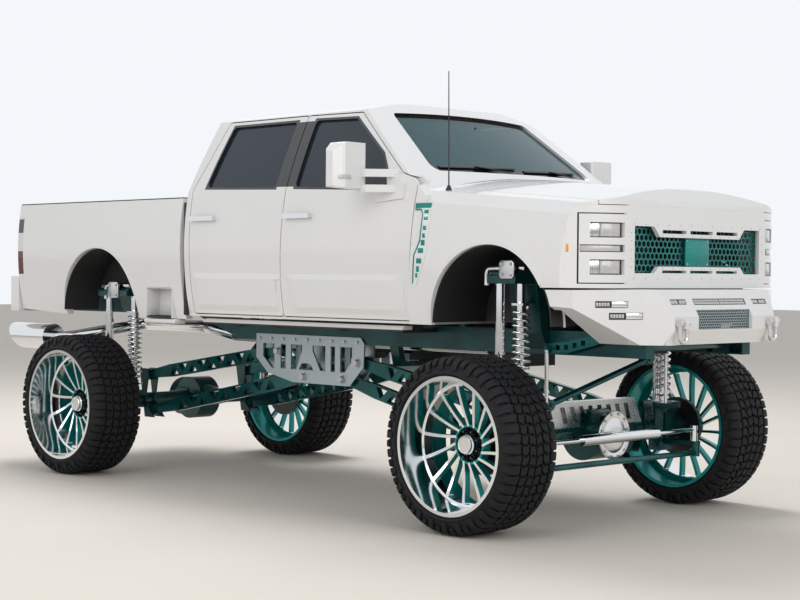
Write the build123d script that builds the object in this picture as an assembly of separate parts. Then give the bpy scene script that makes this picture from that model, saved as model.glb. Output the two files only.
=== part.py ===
from build123d import *
import os
from math import hypot, sqrt

# A lifted crew-cab pickup truck on coilovers and solid axles, in millimetres.
# Places are measured from the front axle (x, forwards), the centre line (y, to the left)
# and the ground (z). A finished piece moves to the part's origin, at mid-length, when it is saved.
# Lists of points are (along, up) pairs; a third number bows the side that starts there outwards.

# Wheels and axles
WHEELBASE = 4059
AXLE_HEIGHT = 524
TYRE_WIDTH = 424
WHEEL_PLANE_Y = 1074.5
BEAD_RADIUS = 397
RIM_LIP_RADIUS = 409
RIM_WIDTH = 396
RIM_WALL = 9
SPOKE_FACE_Y = 1086
SPOKE_RING_RADIUS = 366
SPOKE_RING_LIP = 14
SPOKE_COUNT = 16
SPOKE_ROOT = 15
SPOKE_END = 21
SPOKE_SWEEP = 5
SPOKE_LEAN = 40
HUB_RADIUS = 118
NUT_WELL_RADIUS = 100
HUB_CAP_RADIUS = 60
MOUNT_FACE_Y = 1020
HUB_CAP_Y = 1112
BRAKE_FACE_Y = 935
KINGPIN_Y = 800
AXLE_TUBE_RADIUS = 50
DIFF_Y = 40
DIFF_RADIUS = 165
REAR_AXLE_X = -WHEELBASE

# Steering
ARM_X = 260
TIE_ROD_Z = 400
RAM_X = 245
RAM_Z = 520
RAM_ROD_RADIUS = 14

# Body
SILL_Z = 1215
BELT_Z = 2085
BODY_SILL_HALF_WIDTH = 955
BELT_HALF_WIDTH = 985
SIDE_BOW = 45
WALL = 60
FENDER_SKIN = 25
DOOR_LIP = 15
DOOR_STEP = 25
DOOR_STOP = 15
PANEL_GAP = 7
DOOR_BOTTOM_Z = 1237
DOOR_FRONT_X = -540
DOOR_SEAM_X = -1780
CAB_FRONT_X = -450
CAB_BACK_X = -2864
GLASS = 6
GLASS_DEPTH = 18
ARCH_RADIUS = 475
ARCH_Z = 1225
FRONT_ARCH_X = 67
REAR_ARCH_X = -3950
LINER = 8

# Windscreen: how far it leans back for each millimetre up, and its sweep seen from above
SCREEN_LEAN = 1.38
SCREEN_BASE_X = -470
SCREEN_BASE_Z = 2150
SCREEN_RADIUS = 2800

# Bed
BED_FRONT_X = -2905
BED_BACK_X = -5050
BED_TOP_Z = 2050
BED_FLOOR_Z = 1470
BED_FLOOR = 50
BED_INNER_HALF_WIDTH = 880
BED_POST = 95
TUB_HALF_WIDTH = 650
TAILGATE_HALF_WIDTH = 790
TAILGATE = 60
TAILGATE_BOTTOM_Z = 1492
TAILGATE_HINGE_X = BED_BACK_X + TAILGATE / 2
TAILGATE_HINGE_Z = TAILGATE_BOTTOM_Z + TAILGATE / 2
TAILGATE_PIN_RADIUS = 12
TAILGATE_PIN = 20
TAILGATE_RECESS = 10
TAILGATE_PANEL_Z = (1570, 1850)
HANDLE_RECESS = 26
HANDLE_RECESS_Z = (1905, 1960)

# Frame
RAIL_Y = 480
RAIL_WIDTH = 80
RAIL_TOP_Z = 1190
RAIL_BOTTOM_Z = 1045
RAIL_FRONT_X = 860
RAIL_BACK_X = -5060
REAR_RAIL_TOP_Z = 1360
REAR_RAIL_BOTTOM_Z = 1205
PLATE = 12
LINK_WIDTH = 60

# Coilovers and shocks
COILOVER_Y = 700
SPRING_RADIUS = 58
COILOVER_BODY_RADIUS = 32
SHOCK_RADIUS = 27

# Ends of the part
FRONT_TIP_X = 1100
REAR_TIP_X = -5337
ORIGIN_X = (FRONT_TIP_X + REAR_TIP_X) / 2

# Clearance between pieces that are seated on each other
SEAT = 0.3

os.makedirs("parts", exist_ok=True)


# Outlines and prisms
def outline(points, place):
    """A flat face through (a, b) points; (a, b, bow) starts a bowed side."""
    edges = []
    for start, end in zip(points, points[1:] + points[:1]):
        a, b = Vector(start[0], start[1]), Vector(end[0], end[1])
        if len(start) == 3:
            out = (b - a).normalized().rotate(Axis.Z, -90) * start[2]
            middle = (a + b) * 0.5 + out
            edges.append(Edge.make_three_point_arc(place(a), place(middle), place(b)))
        else:
            edges.append(Edge.make_line(place(a), place(b)))
    return Face(Wire(edges))


def grown(face, amount):
    """The same flat face with its outline moved out by an amount, or in by a negative one."""
    return Face(face.outer_wire().offset_2d(amount, kind=Kind.INTERSECTION)) if amount else face


def rounded(face, radius):
    return face.fillet_2d(radius, face.vertices()) if radius else face


def side_prism(points, y0, y1, radius=0, grow=0):
    face = grown(rounded(outline(points, lambda p: Vector(p.X, y0, p.Y)), radius), grow)
    return Solid.extrude(face, Vector(0, y1 - y0, 0))


def plan_prism(points, z0, z1, radius=0, grow=0):
    face = grown(rounded(outline(points, lambda p: Vector(p.X, p.Y, z0)), radius), grow)
    return Solid.extrude(face, Vector(0, 0, z1 - z0))


def end_prism(points, x0, x1, radius=0, grow=0):
    face = grown(rounded(outline(points, lambda p: Vector(x0, p.X, p.Y)), radius), grow)
    return Solid.extrude(face, Vector(x1 - x0, 0, 0))


def sloped_prism(points, x, back, ahead, slope, grow=0):
    """An end view's outline at x, carried back and ahead along a run that falls forwards."""
    run = Vector(1, 0, -slope).normalized()
    rise = Vector(slope, 0, 1) * (1 / (1 + slope ** 2))
    face = grown(outline(points, lambda p: Vector(x, p.X, 0) + rise * p.Y - run * back), grow)
    return Solid.extrude(face, run * (back + ahead))


def block(x, y, z):
    """A box between pairs of low and high values."""
    size = (x[1] - x[0], y[1] - y[0], z[1] - z[0])
    return Pos((x[0] + x[1]) / 2, (y[0] + y[1]) / 2, (z[0] + z[1]) / 2) * Box(*size)


def rod(start, end, radius):
    """A round bar between two points."""
    a, b = Vector(*start), Vector(*end)
    plane = Plane(origin=(a + b) * 0.5, z_dir=b - a)
    return plane * Cylinder(radius, (b - a).length)


def ring(points):
    """A body turned about the y axis from (radius, y) points."""
    face = outline(points, lambda p: Vector(p.X, p.Y, 0))
    return Solid.revolve(face, 360, Axis.Y)


def flipped(shape):
    """The same piece on the other side of the truck."""
    return mirror(shape, about=Plane.XZ)


def both(shape):
    return [shape, flipped(shape)]


def fuse(shapes):
    first, *rest = shapes
    return first.fuse(*rest) if rest else first


def save(name, *shapes):
    solids = [Pos(-ORIGIN_X, 0, 0) * solid for shape in shapes for solid in shape.solids()]
    export_step(solids[0] if len(solids) == 1 else Compound(solids), f"parts/{name}.step")


# Frame: channel rails that kick up over the rear axle, cross members and suspension towers
RAIL_OUTLINE = [
    (RAIL_BACK_X, REAR_RAIL_BOTTOM_Z),
    (-3350, REAR_RAIL_BOTTOM_Z),
    (-2850, RAIL_BOTTOM_Z),
    (RAIL_FRONT_X, RAIL_BOTTOM_Z),
    (RAIL_FRONT_X, RAIL_TOP_Z),
    (-2900, RAIL_TOP_Z),
    (-3300, REAR_RAIL_TOP_Z),
    (RAIL_BACK_X, REAR_RAIL_TOP_Z),
]
RAIL_INNER_Y = RAIL_Y - RAIL_WIDTH / 2
RAIL_OUTER_Y = RAIL_Y + RAIL_WIDTH / 2
CROSS_TUBES = [
    # x, z, radius
    (700, 1117, 38),
    (-2150, 1140, 38),
    (-2900, 1140, 38),
    (-3550, 1285, 38),
    (-4700, 1285, 38),
    (-5010, 1285, 38),
]
GEARBOX_BRIDGE = [
    (-RAIL_INNER_Y, 1060), (-400, 905), (400, 905), (RAIL_INNER_Y, 1060), (RAIL_INNER_Y, 1170),
    (400, 1170), (400, 1080), (360, 935), (-360, 935), (-400, 1080), (-400, 1170),
    (-RAIL_INNER_Y, 1170),
]
BRIDGE_X = (-1350, -1270)
FRONT_TOWER = [
    (RAIL_OUTER_Y, 1055), (590, 1170), (640, 1470), (835, 1470), (835, 1520), (800, 1545),
    (600, 1545), (575, 1480), (RAIL_OUTER_Y, 1188),
]
FRONT_TOWER_X = (-95, 130)
REAR_TOWER = [
    (RAIL_OUTER_Y, 1210), (600, 1215), (645, 1340), (835, 1340), (835, 1380), (800, 1400),
    (600, 1400), (RAIL_OUTER_Y, 1358),
]
REAR_TOWER_X = (-4190, -3810)
BODY_MOUNTS_X = (-620, -1500, -2050, -2720)
SWAY_X = 545
SWAY_Z = 1150
SWAY_RADIUS = 22


def make_frame():
    rail = side_prism(RAIL_OUTLINE, RAIL_INNER_Y, RAIL_OUTER_Y)
    pocket = side_prism(RAIL_OUTLINE, RAIL_INNER_Y - 1, RAIL_OUTER_Y - 10, grow=-10)
    pocket -= block((BRIDGE_X[0] - 20, BRIDGE_X[1] + 20), (0, 600), (1000, 1400))
    for x, z, radius in CROSS_TUBES:
        pocket -= block((x - 60, x + 60), (0, 600), (1000, 1400))
    pocket -= block((SWAY_X - 50, SWAY_X + 50), (0, 600), (1000, 1400))
    rail -= pocket
    rail -= rod((SWAY_X, 0, SWAY_Z), (SWAY_X, 600, SWAY_Z), SWAY_RADIUS + SEAT)
    front_tower = end_prism(FRONT_TOWER, FRONT_TOWER_X[0], FRONT_TOWER_X[1], radius=8)
    rear_tower = end_prism(REAR_TOWER, REAR_TOWER_X[0], REAR_TOWER_X[1], radius=8)
    side = fuse([rail, front_tower, rear_tower])
    pieces = both(side)
    for x, z, radius in CROSS_TUBES:
        pieces.append(rod((x, -RAIL_INNER_Y - 5, z), (x, RAIL_INNER_Y + 5, z), radius))
    pieces.append(end_prism(GEARBOX_BRIDGE, BRIDGE_X[0], BRIDGE_X[1]))
    y, z = TRACK_BAR[1]
    pieces += track_bracket(y, z, RAIL_BOTTOM_Z + 4)
    for x in BODY_MOUNTS_X:
        pieces += both(rod((x, RAIL_Y, RAIL_TOP_Z - 5), (x, RAIL_Y, SILL_Z - SEAT), 34))
    return fuse(pieces)


# Links: flat milled bars with an eye at each end, all in the plane of the rails
LINKS = {
    # name: x and z at the hanger, x and z at the axle
    "front_upper": ((-1570, 919), (-120, 640)),
    "front_lower": ((-1720, 800), (-60, 430)),
    "rear_upper": ((-2396, 970), (-4000, 725)),
    "rear_lower": ((-2120, 800), (-3930, 455)),
}
LINK_DEPTH = 96
LINK_END_DEPTH = 56
LINK_RIB = 12
TRUSS_BAYS = 9
EYE_RADIUS = 42
PIN_RADIUS = 14


def make_link(ends):
    """A bar deepest at the middle, with round eyes bored for the pins."""
    (x0, z0), (x1, z1) = ends
    length = hypot(x1 - x0, z1 - z0)
    run = Vector((x1 - x0) / length, 0, (z1 - z0) / length)
    up = Vector(-run.Z, 0, run.X)
    start = Vector(x0, 0, z0)
    half = [(0, LINK_END_DEPTH / 2), (0.18, LINK_DEPTH / 2), (0.82, LINK_DEPTH / 2), (1, LINK_END_DEPTH / 2)]
    loop = half + [(share, -depth) for share, depth in reversed(half)]
    points = [start + run * (share * length) + up * depth for share, depth in loop]
    y0, y1 = RAIL_Y - LINK_WIDTH / 2, RAIL_Y + LINK_WIDTH / 2
    bar = side_prism([(p.X, p.Z) for p in points], y0 + 8, y1 - 8)
    low, top = LINK_RIB - LINK_DEPTH / 2, LINK_DEPTH / 2 - LINK_RIB
    bay = 0.64 * length / TRUSS_BAYS
    for step in range(TRUSS_BAYS):
        left = 0.18 * length + step * bay + LINK_RIB / 2
        right = 0.18 * length + (step + 1) * bay - LINK_RIB / 2
        foot, tip = (low, top) if step % 2 else (top, low)
        corners = [start + run * left + up * foot, start + run * right + up * foot,
                   start + run * ((left + right) / 2) + up * tip]
        bar -= side_prism([(p.X, p.Z) for p in corners], y0 - 1, y1 + 1)
    eyes = [rod((x, y0, z), (x, y1, z), EYE_RADIUS) for x, z in ends]
    pins = [rod((x, y0 - 9, z), (x, y1 + 9, z), PIN_RADIUS + SEAT) for x, z in ends]
    link = fuse([bar] + eyes)
    for pin in pins:
        link -= pin
    return link


PLATE_GAP = RAIL_WIDTH / 2
PLATE_Y = [RAIL_Y - PLATE_GAP - PLATE, RAIL_Y + PLATE_GAP]
HANGER = [
    (-2632, 1090), (-2632, 919), (-2505, 813), (-2230, 757), (-1640, 757), (-1503, 890), (-1496, 1050),
    (-1530, 1090),
]
HANGER_WINDOWS = [
    [(-2555, 1022), (-2555, 930), (-2458, 848), (-2430, 848), (-2430, 1022)],
    [(-2363, 1022), (-2363, 848), (-2307, 848), (-2307, 1022)],
    [(-2251, 1022), (-2251, 848), (-2193, 848), (-2130, 985), (-2130, 1022)],
    [(-2165, 848), (-2011, 848), (-2045, 895), (-2133, 895)],
    [(-2021, 1022), (-2021, 985), (-1940, 848), (-1887, 848), (-1887, 1022)],
    [(-1833, 1022), (-1833, 848), (-1789, 848), (-1789, 1022)],
    [(-1735, 1022), (-1735, 848), (-1690, 848), (-1615, 930), (-1615, 1022)],
]


def clevis_pins(places):
    """Pins with shoulders that fill the space between a pair of plates and an eye."""
    pieces = []
    y0, y1 = RAIL_Y - PLATE_GAP, RAIL_Y + PLATE_GAP
    for x, z in places:
        pieces.append(rod((x, y0, z), (x, y1, z), PIN_RADIUS))
        for low, high in ((y0, RAIL_Y - LINK_WIDTH / 2 - SEAT), (RAIL_Y + LINK_WIDTH / 2 + SEAT, y1)):
            pieces.append(rod((x, low, z), (x, high, z), EYE_RADIUS - 12))
    return pieces


def make_hanger_plates():
    """A pair of plates each side, with windows between the four pins that hold the links."""
    plates = [side_prism(HANGER, y, y + PLATE) for y in PLATE_Y]
    for points in HANGER_WINDOWS:
        way = side_prism(points, PLATE_Y[0] - 5, PLATE_Y[1] + PLATE + 5)
        plates = [plate - way for plate in plates]
    hanger = fuse(plates + clevis_pins([ends[0] for ends in LINKS.values()]))
    return both(hanger)


# Axles
TRACK_BAR = [
    # y, z at the axle and at the left rail
    (-492, 735),
    (480, 985),
]
TRACK_BAR_X = 105
TRACK_BAR_RADIUS = 20
TRACK_EYE = 24
TRACK_PLATE = 20
TRUSS_THICKNESS = 70
TRUSS = [(-520, 560), (520, 560), (440, 735), (-330, 735)]
TRUSS_WINDOW = (44, 36)
TRUSS_WINDOWS_Y = range(-270, 400, 90)


def make_track_bar():
    """A bar across the truck with a bored eye at each end."""
    (y0, z0), (y1, z1) = TRACK_BAR
    bar = rod((TRACK_BAR_X, y0, z0), (TRACK_BAR_X, y1, z1), TRACK_BAR_RADIUS)
    for y, z in TRACK_BAR:
        bar = bar.fuse(rod((TRACK_BAR_X - TRACK_EYE, y, z), (TRACK_BAR_X + TRACK_EYE, y, z), 34))
    for y, z in TRACK_BAR:
        bar -= rod((TRACK_BAR_X - 40, y, z), (TRACK_BAR_X + 40, y, z), PIN_RADIUS + SEAT)
    return bar


def track_bracket(y, z, root_z):
    """A plate behind an eye of the track bar, with the pin that passes through it."""
    face = TRACK_BAR_X - TRACK_EYE - SEAT
    low, high = sorted((root_z, z + (40 if z > root_z else -40)))
    plate = block((face - TRACK_PLATE, face), (y - 36, y + 36), (low, high))
    pin = rod((face - 1, y, z), (TRACK_BAR_X + TRACK_EYE + 8, y, z), PIN_RADIUS)
    return [plate, pin]


def make_diff(x, nose):
    """The round housing, its cover plate and the pinion snout towards the middle of the truck."""
    bowl = rod((x, DIFF_Y - 95, AXLE_HEIGHT), (x, DIFF_Y + 95, AXLE_HEIGHT), DIFF_RADIUS)
    cover_x = x - nose * (DIFF_RADIUS + 20)
    cover = rod((x, DIFF_Y, AXLE_HEIGHT + 10), (cover_x, DIFF_Y, AXLE_HEIGHT + 10), 120)
    snout = Plane(origin=(x, DIFF_Y, PINION_Z), z_dir=(nose, 0, 0)) * Cone(
        110, 55, PINION_REACH, align=(Align.CENTER, Align.CENTER, Align.MIN))
    return [bowl, cover, snout]


def axle_brackets(names, x):
    """Two plates each side that hold the axle ends of the links."""
    (ux, uz), (lx, lz) = [LINKS[name][1] for name in names]
    points = [
        (lx - 60, lz - 55), (lx + 60, lz - 55), (x + 70, AXLE_HEIGHT), (ux + 60, uz + 50), (ux - 60, uz + 50),
    ]
    pair = [side_prism(points, y, y + PLATE) for y in PLATE_Y]
    return pair + clevis_pins([(ux, uz), (lx, lz)])


YOKE_X = 45
YOKE_OPENING = 110
YOKE = [
    (695, -150), (835, -150), (835, -YOKE_OPENING), (735, -YOKE_OPENING),
    (735, YOKE_OPENING), (835, YOKE_OPENING), (835, 150), (695, 150),
]
FRONT_PERCH_Z = 700
REAR_PERCH_Z = 620


def make_front_axle():
    tube = rod((0, -715, AXLE_HEIGHT), (0, 715, AXLE_HEIGHT), AXLE_TUBE_RADIUS)
    diff = make_diff(0, -1)
    yoke = end_prism([(y, AXLE_HEIGHT + z) for y, z in YOKE], -YOKE_X, YOKE_X)
    perch = block((-80, 130), (630, 805), (FRONT_PERCH_Z - 40, FRONT_PERCH_Z))
    tab = block((100, DROP_LINK[0] + 22), (DROP_LINK[1] - 22, 640), (FRONT_PERCH_Z - 20, FRONT_PERCH_Z))
    post = block((-50, 50), (640, 700), (AXLE_HEIGHT, FRONT_PERCH_Z - 20))
    truss = end_prism(TRUSS, -TRUSS_THICKNESS / 2, TRUSS_THICKNESS / 2)
    width, lean = TRUSS_WINDOW
    for y in TRUSS_WINDOWS_Y:
        points = [(y, 600), (y + width, 600), (y + width - lean, 705), (y - lean, 705)]
        truss -= end_prism(points, -TRUSS_THICKNESS, TRUSS_THICKNESS)
    y, z = TRACK_BAR[0]
    foot = block((0, TRACK_BAR_X - TRACK_EYE - SEAT), (y - 36, y + 36), (AXLE_HEIGHT + 21, AXLE_HEIGHT + 76))
    sides = both(yoke) + both(perch) + both(post) + both(tab) + track_bracket(y, z, AXLE_HEIGHT + 21) + [foot]
    for piece in axle_brackets(("front_upper", "front_lower"), 0):
        sides += both(piece)
    return fuse([tube, truss] + diff + sides)


def make_rear_axle():
    end_y = BRAKE_FACE_Y - SEAT
    tube = rod((REAR_AXLE_X, -end_y, AXLE_HEIGHT), (REAR_AXLE_X, end_y, AXLE_HEIGHT), 58)
    diff = make_diff(REAR_AXLE_X, 1)
    perch = block((REAR_AXLE_X - 100, -3830), (630, 805), (REAR_PERCH_Z - 40, REAR_PERCH_Z))
    post = block((REAR_AXLE_X - 50, REAR_AXLE_X + 50), (640, 790), (AXLE_HEIGHT, REAR_PERCH_Z - 20))
    sides = both(perch) + both(post)
    for piece in axle_brackets(("rear_upper", "rear_lower"), REAR_AXLE_X):
        sides += both(piece)
    return fuse([tube] + diff + sides)


# Coilovers and shocks: (x, y, bottom, top)
COILOVERS = [(60, COILOVER_Y, FRONT_PERCH_Z, 1470), (-3890, COILOVER_Y, REAR_PERCH_Z, 1340)]
SHOCKS = [(-40, 775, FRONT_PERCH_Z, 1470), (-4125, 770, REAR_PERCH_Z, 1340)]
SPRING_FOOT = 60
SPRING_HEAD = 130
SPRING_WAVES = 9


def upright(x, y, profile):
    """A body turned about an upright line from (radius, z) points."""
    face = outline(profile, lambda p: Vector(x + p.X, y, p.Y))
    return Solid.revolve(face, 360, Axis((x, y, 0), (0, 0, 1)))


def make_coilover(x, y, low, high):
    seat_z, top_z = low + SPRING_FOOT, high - SPRING_HEAD
    profile = [
        (0, low + SEAT), (24, low + SEAT), (24, seat_z - 25), (SPRING_RADIUS + 8, seat_z - 10),
        (SPRING_RADIUS + 8, seat_z), (18, seat_z), (18, (seat_z + top_z) / 2),
        (COILOVER_BODY_RADIUS, (seat_z + top_z) / 2), (COILOVER_BODY_RADIUS, top_z),
        (SPRING_RADIUS + 8, top_z), (SPRING_RADIUS + 8, top_z + 14), (COILOVER_BODY_RADIUS, top_z + 22),
        (COILOVER_BODY_RADIUS, high - SEAT), (0, high - SEAT),
    ]
    return upright(x, y, profile)


def make_spring(x, y, low, high):
    """A sleeve with one wave for each turn of the coil."""
    low, high = low + SPRING_FOOT + SEAT, high - SPRING_HEAD - SEAT
    pitch = (high - low) / SPRING_WAVES
    inner, outer = COILOVER_BODY_RADIUS + 6, SPRING_RADIUS
    wave = []
    for turn in range(SPRING_WAVES):
        wave += [(inner + 6, low + turn * pitch), (outer, low + (turn + 0.5) * pitch)]
    profile = wave + [(inner + 6, high), (inner, high), (inner, low)]
    return upright(x, y, profile)


def make_shock(x, y, low, high):
    split = low + 0.42 * (high - low)
    profile = [
        (0, low + SEAT), (SHOCK_RADIUS, low + SEAT), (SHOCK_RADIUS, split), (14, split),
        (14, split + 20), (SHOCK_RADIUS + 4, split + 20), (SHOCK_RADIUS + 4, high - SEAT), (0, high - SEAT),
    ]
    return upright(x, y, profile)


# Sway bar and its drop links
DROP_LINK = (170, 590, 1086)
SWAY_ARM = [
    (140, 1052), (300, 1058), (520, 1112), (572, 1136), (572, 1166), (540, 1178), (300, 1128), (140, 1112),
]
SWAY_ARM_HOLE = 30
SWAY_ARM_HOLES = [(235, 1090), (300, 1094), (365, 1108), (430, 1123)]


def make_bars():
    """A bar across the frame with two arms, and its drop links."""
    arm = side_prism(SWAY_ARM, 545, 565)
    for x, z in SWAY_ARM_HOLES:
        half = SWAY_ARM_HOLE / 2
        arm -= block((x - half, x + half), (540, 570), (z - half, z + half))
    cross = rod((SWAY_X, 0, SWAY_Z), (SWAY_X, 566, SWAY_Z), SWAY_RADIUS)
    half = fuse([arm, cross])
    sway = fuse(both(half))
    x, y, z = DROP_LINK
    upright_bar = rod((x, y, FRONT_PERCH_Z + SEAT), (x, y, z + 14), 12)
    boss = rod((x, 565 + SEAT, z), (x, y + 14, z), 16)
    return [sway] + both(fuse([upright_bar, boss]))


# Knuckles, steering ram and tie rod
def make_knuckle():
    """Left knuckle: kingpin post, hub barrel, caliper and steering arm."""
    z = AXLE_HEIGHT
    core = block((-40, 40), (KINGPIN_Y - 35, 870), (z - 100, z + 100))
    boss = rod((0, KINGPIN_Y, z - YOKE_OPENING + SEAT), (0, KINGPIN_Y, z + YOKE_OPENING - SEAT), 28)
    barrel = rod((0, 850, z), (0, BRAKE_FACE_Y - SEAT, z), 75)
    arm_top = z - YOKE_OPENING + 33
    arm = plan_prism([(-30, 775), (ARM_X, 778), (ARM_X, 822), (-30, 840)], arm_top - 28, arm_top)
    eye = rod((ARM_X, KINGPIN_Y, arm_top - 28), (ARM_X, KINGPIN_Y, arm_top), 30)
    caliper = block((-240, -115), (905, 992), (z - 62, z + 62))
    slot = rod((0, 929, z), (0, 971, z), 197)
    bridge = block((-130, 0), (868, 925), (z - 30, z + 30))
    return fuse([core, boss, barrel, arm, eye, caliper - slot, bridge])


ARM_TOP_Z = AXLE_HEIGHT - YOKE_OPENING + 33
ARM_BOTTOM_Z = ARM_TOP_Z - 28


def make_tie_rod():
    bar = rod((ARM_X, -KINGPIN_Y, TIE_ROD_Z - 28), (ARM_X, KINGPIN_Y, TIE_ROD_Z - 28), 19)
    low_z, high_z = TIE_ROD_Z - 52, ARM_BOTTOM_Z - SEAT
    eyes = [rod((ARM_X, y, low_z), (ARM_X, y, high_z), 27) for y in (-KINGPIN_Y, KINGPIN_Y)]
    return fuse([bar] + eyes)


def make_ram_rod():
    bar = rod((RAM_X, -KINGPIN_Y, RAM_Z), (RAM_X, KINGPIN_Y, RAM_Z), RAM_ROD_RADIUS)
    eyes = [rod((RAM_X, y, ARM_TOP_Z + SEAT), (RAM_X, y, RAM_Z + 28), 25) for y in (-KINGPIN_Y, KINGPIN_Y)]
    return fuse([bar] + eyes)


def make_ram():
    """The cylinder, bored for its rod, with a clamp each side of the differential."""
    body = rod((RAM_X, -350, RAM_Z), (RAM_X, 400, RAM_Z), 34)
    clamps = [
        block((AXLE_TUBE_RADIUS + SEAT, RAM_X), (y - 25, y + 25), (RAM_Z - 22, RAM_Z + 22))
        for y in (-280, 330)
    ]
    return fuse([body] + clamps) - rod((RAM_X, -400, RAM_Z), (RAM_X, 450, RAM_Z), RAM_ROD_RADIUS + SEAT)


# Wheels, made at the front left and placed at each corner
def make_tyre():
    half, inner = TYRE_WIDTH / 2, BEAD_RADIUS
    y = WHEEL_PLANE_Y
    bead = RIM_WIDTH / 2 - 12
    profile = [
        (inner, y - bead), (inner, y + bead), (RIM_LIP_RADIUS + 5, y + bead), (inner + 46, y + half - 4, 2),
        (AXLE_HEIGHT - 42, y + half), (AXLE_HEIGHT - 10, y + half - 18), (AXLE_HEIGHT, y + half - 48),
        (AXLE_HEIGHT, y - half + 48), (AXLE_HEIGHT - 10, y - half + 18), (AXLE_HEIGHT - 42, y - half, 2),
        (inner + 46, y - half + 4), (RIM_LIP_RADIUS + 5, y - bead),
    ]
    return ring(profile)


def make_rim():
    """Barrel with rolled lips, a deep outer dish, curved spokes and the hub."""
    y, half, seat = WHEEL_PLANE_Y, RIM_WIDTH / 2, BEAD_RADIUS - SEAT
    wall = RIM_WALL
    lip = SPOKE_RING_RADIUS - SPOKE_RING_LIP
    profile = [
        (seat - wall, y - half), (RIM_LIP_RADIUS, y - half), (RIM_LIP_RADIUS, y - half + 9),
        (seat, y - half + 11), (seat, y + half - 11), (RIM_LIP_RADIUS, y + half - 9),
        (RIM_LIP_RADIUS, y + half), (seat - wall, y + half), (SPOKE_RING_RADIUS, y + 34), (lip, y + 28),
        (lip, MOUNT_FACE_Y + 22), (SPOKE_RING_RADIUS, MOUNT_FACE_Y), (seat - wall, MOUNT_FACE_Y - 25),
    ]
    barrel = ring(profile)
    hub = ring([
        (0, MOUNT_FACE_Y), (HUB_RADIUS, MOUNT_FACE_Y), (HUB_RADIUS, SPOKE_FACE_Y - 4),
        (NUT_WELL_RADIUS + 4, SPOKE_FACE_Y - 4), (NUT_WELL_RADIUS, MOUNT_FACE_Y + 24),
        (HUB_CAP_RADIUS + 2, MOUNT_FACE_Y + 24), (HUB_CAP_RADIUS, HUB_CAP_Y - 8),
        (HUB_CAP_RADIUS - 6, HUB_CAP_Y), (0, HUB_CAP_Y),
    ])
    root, rim = SPOKE_ROOT / 2, SPOKE_END / 2
    inner, outer = HUB_RADIUS - 18, SPOKE_RING_RADIUS - 3
    spoke = Solid.extrude(
        outline([(SPOKE_LEAN - root, inner, -SPOKE_SWEEP), (SPOKE_LEAN - rim, outer),
                 (SPOKE_LEAN + rim, outer, SPOKE_SWEEP), (SPOKE_LEAN + root, inner)],
                lambda p: Vector(p.X, MOUNT_FACE_Y + 22, p.Y)),
        Vector(0, SPOKE_FACE_Y - MOUNT_FACE_Y - 22, 0))
    spokes = [spoke.rotate(Axis.Y, 360 / SPOKE_COUNT * step) for step in range(SPOKE_COUNT)]
    return fuse([barrel, hub] + spokes)


def make_brake_hub():
    face, back = BRAKE_FACE_Y, BRAKE_FACE_Y + 30
    mount = MOUNT_FACE_Y - SEAT
    return ring([(0, face), (190, face), (190, back), (85, back), (85, mount), (0, mount)])


def wheel_places():
    for name, x, side in (("front_left", 0, 1), ("front_right", 0, -1), ("rear_left", REAR_AXLE_X, 1),
                          ("rear_right", REAR_AXLE_X, -1)):
        yield name, Pos(x, 0, AXLE_HEIGHT), side


# Cab: an upright section, a side profile and a swept windscreen, all moved inwards for the inner face
CAB_SECTION = [
    (BODY_SILL_HALF_WIDTH, SILL_Z, SIDE_BOW), (BELT_HALF_WIDTH, BELT_Z, 8), (800, 2590, 88),
    (-800, 2590, 8), (-BELT_HALF_WIDTH, BELT_Z, SIDE_BOW), (-BODY_SILL_HALF_WIDTH, SILL_Z),
]
CAB_PROFILE = [
    (CAB_BACK_X, SILL_Z), (CAB_FRONT_X, SILL_Z), (CAB_FRONT_X, 2400), (-1050, 2632, 42), (-2640, 2648),
    (-2712, 2600), (-2852, 2090),
]


def section_prism(inset, x0=CAB_BACK_X - 100, x1=CAB_FRONT_X + 100):
    return end_prism(CAB_SECTION, x0, x1, grow=-inset)


def screen_cutter(inset):
    """Everything ahead of the windscreen's surface, set back by an inset."""
    base_z, half = 2000, 1100
    sweep = SCREEN_RADIUS - sqrt(SCREEN_RADIUS ** 2 - half ** 2)
    side_x = SCREEN_BASE_X + SCREEN_LEAN * (SCREEN_BASE_Z - base_z)
    side_x = side_x - inset * sqrt(1 + SCREEN_LEAN ** 2) - sweep
    points = [(side_x, half, -sweep), (side_x, -half), (side_x + 1700, -half), (side_x + 1700, half)]
    run = Vector(-SCREEN_LEAN, 0, 1).normalized()
    ahead = Vector(1, 0, SCREEN_LEAN) * (1 / (1 + SCREEN_LEAN ** 2))
    face = outline(points, lambda p: Vector(0, p.Y, base_z) + ahead * p.X)
    return Solid.extrude(face, run * 1800)


def cab_body(inset):
    body = section_prism(inset) & side_prism(CAB_PROFILE, -1200, 1200, grow=-inset)
    return body - screen_cutter(inset)


FRONT_DOOR = [
    (-615, DOOR_BOTTOM_Z), (DOOR_FRONT_X, 2085), (-585, 2115), (-690, 2150), (-1225, 2568),
    (-1755, 2576), (DOOR_SEAM_X, BELT_Z), (-1823, DOOR_BOTTOM_Z),
]
REAR_DOOR = [
    (-1830, DOOR_BOTTOM_Z), (DOOR_SEAM_X - PANEL_GAP, BELT_Z), (-1762, 2576), (-2590, 2576), (-2700, 2300),
    (-2795, 2110), (-2795, DOOR_BOTTOM_Z),
]
FRONT_WINDOW = [(-1695, 2095), (-800, 2062), (-830, 2150), (-915, 2280), (-1262, 2532), (-1664, 2541)]
REAR_WINDOW = [(-2650, 2120), (-1900, 2098), (-1856, 2541), (-2530, 2541)]
DOOR_INNER_Y = 620
FLOOR_HALF_WIDTH = 892
HANDLES = {"front": (-1748, -1490), "rear": (-2765, -2495)}
HANDLE_Z = 1900


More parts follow.
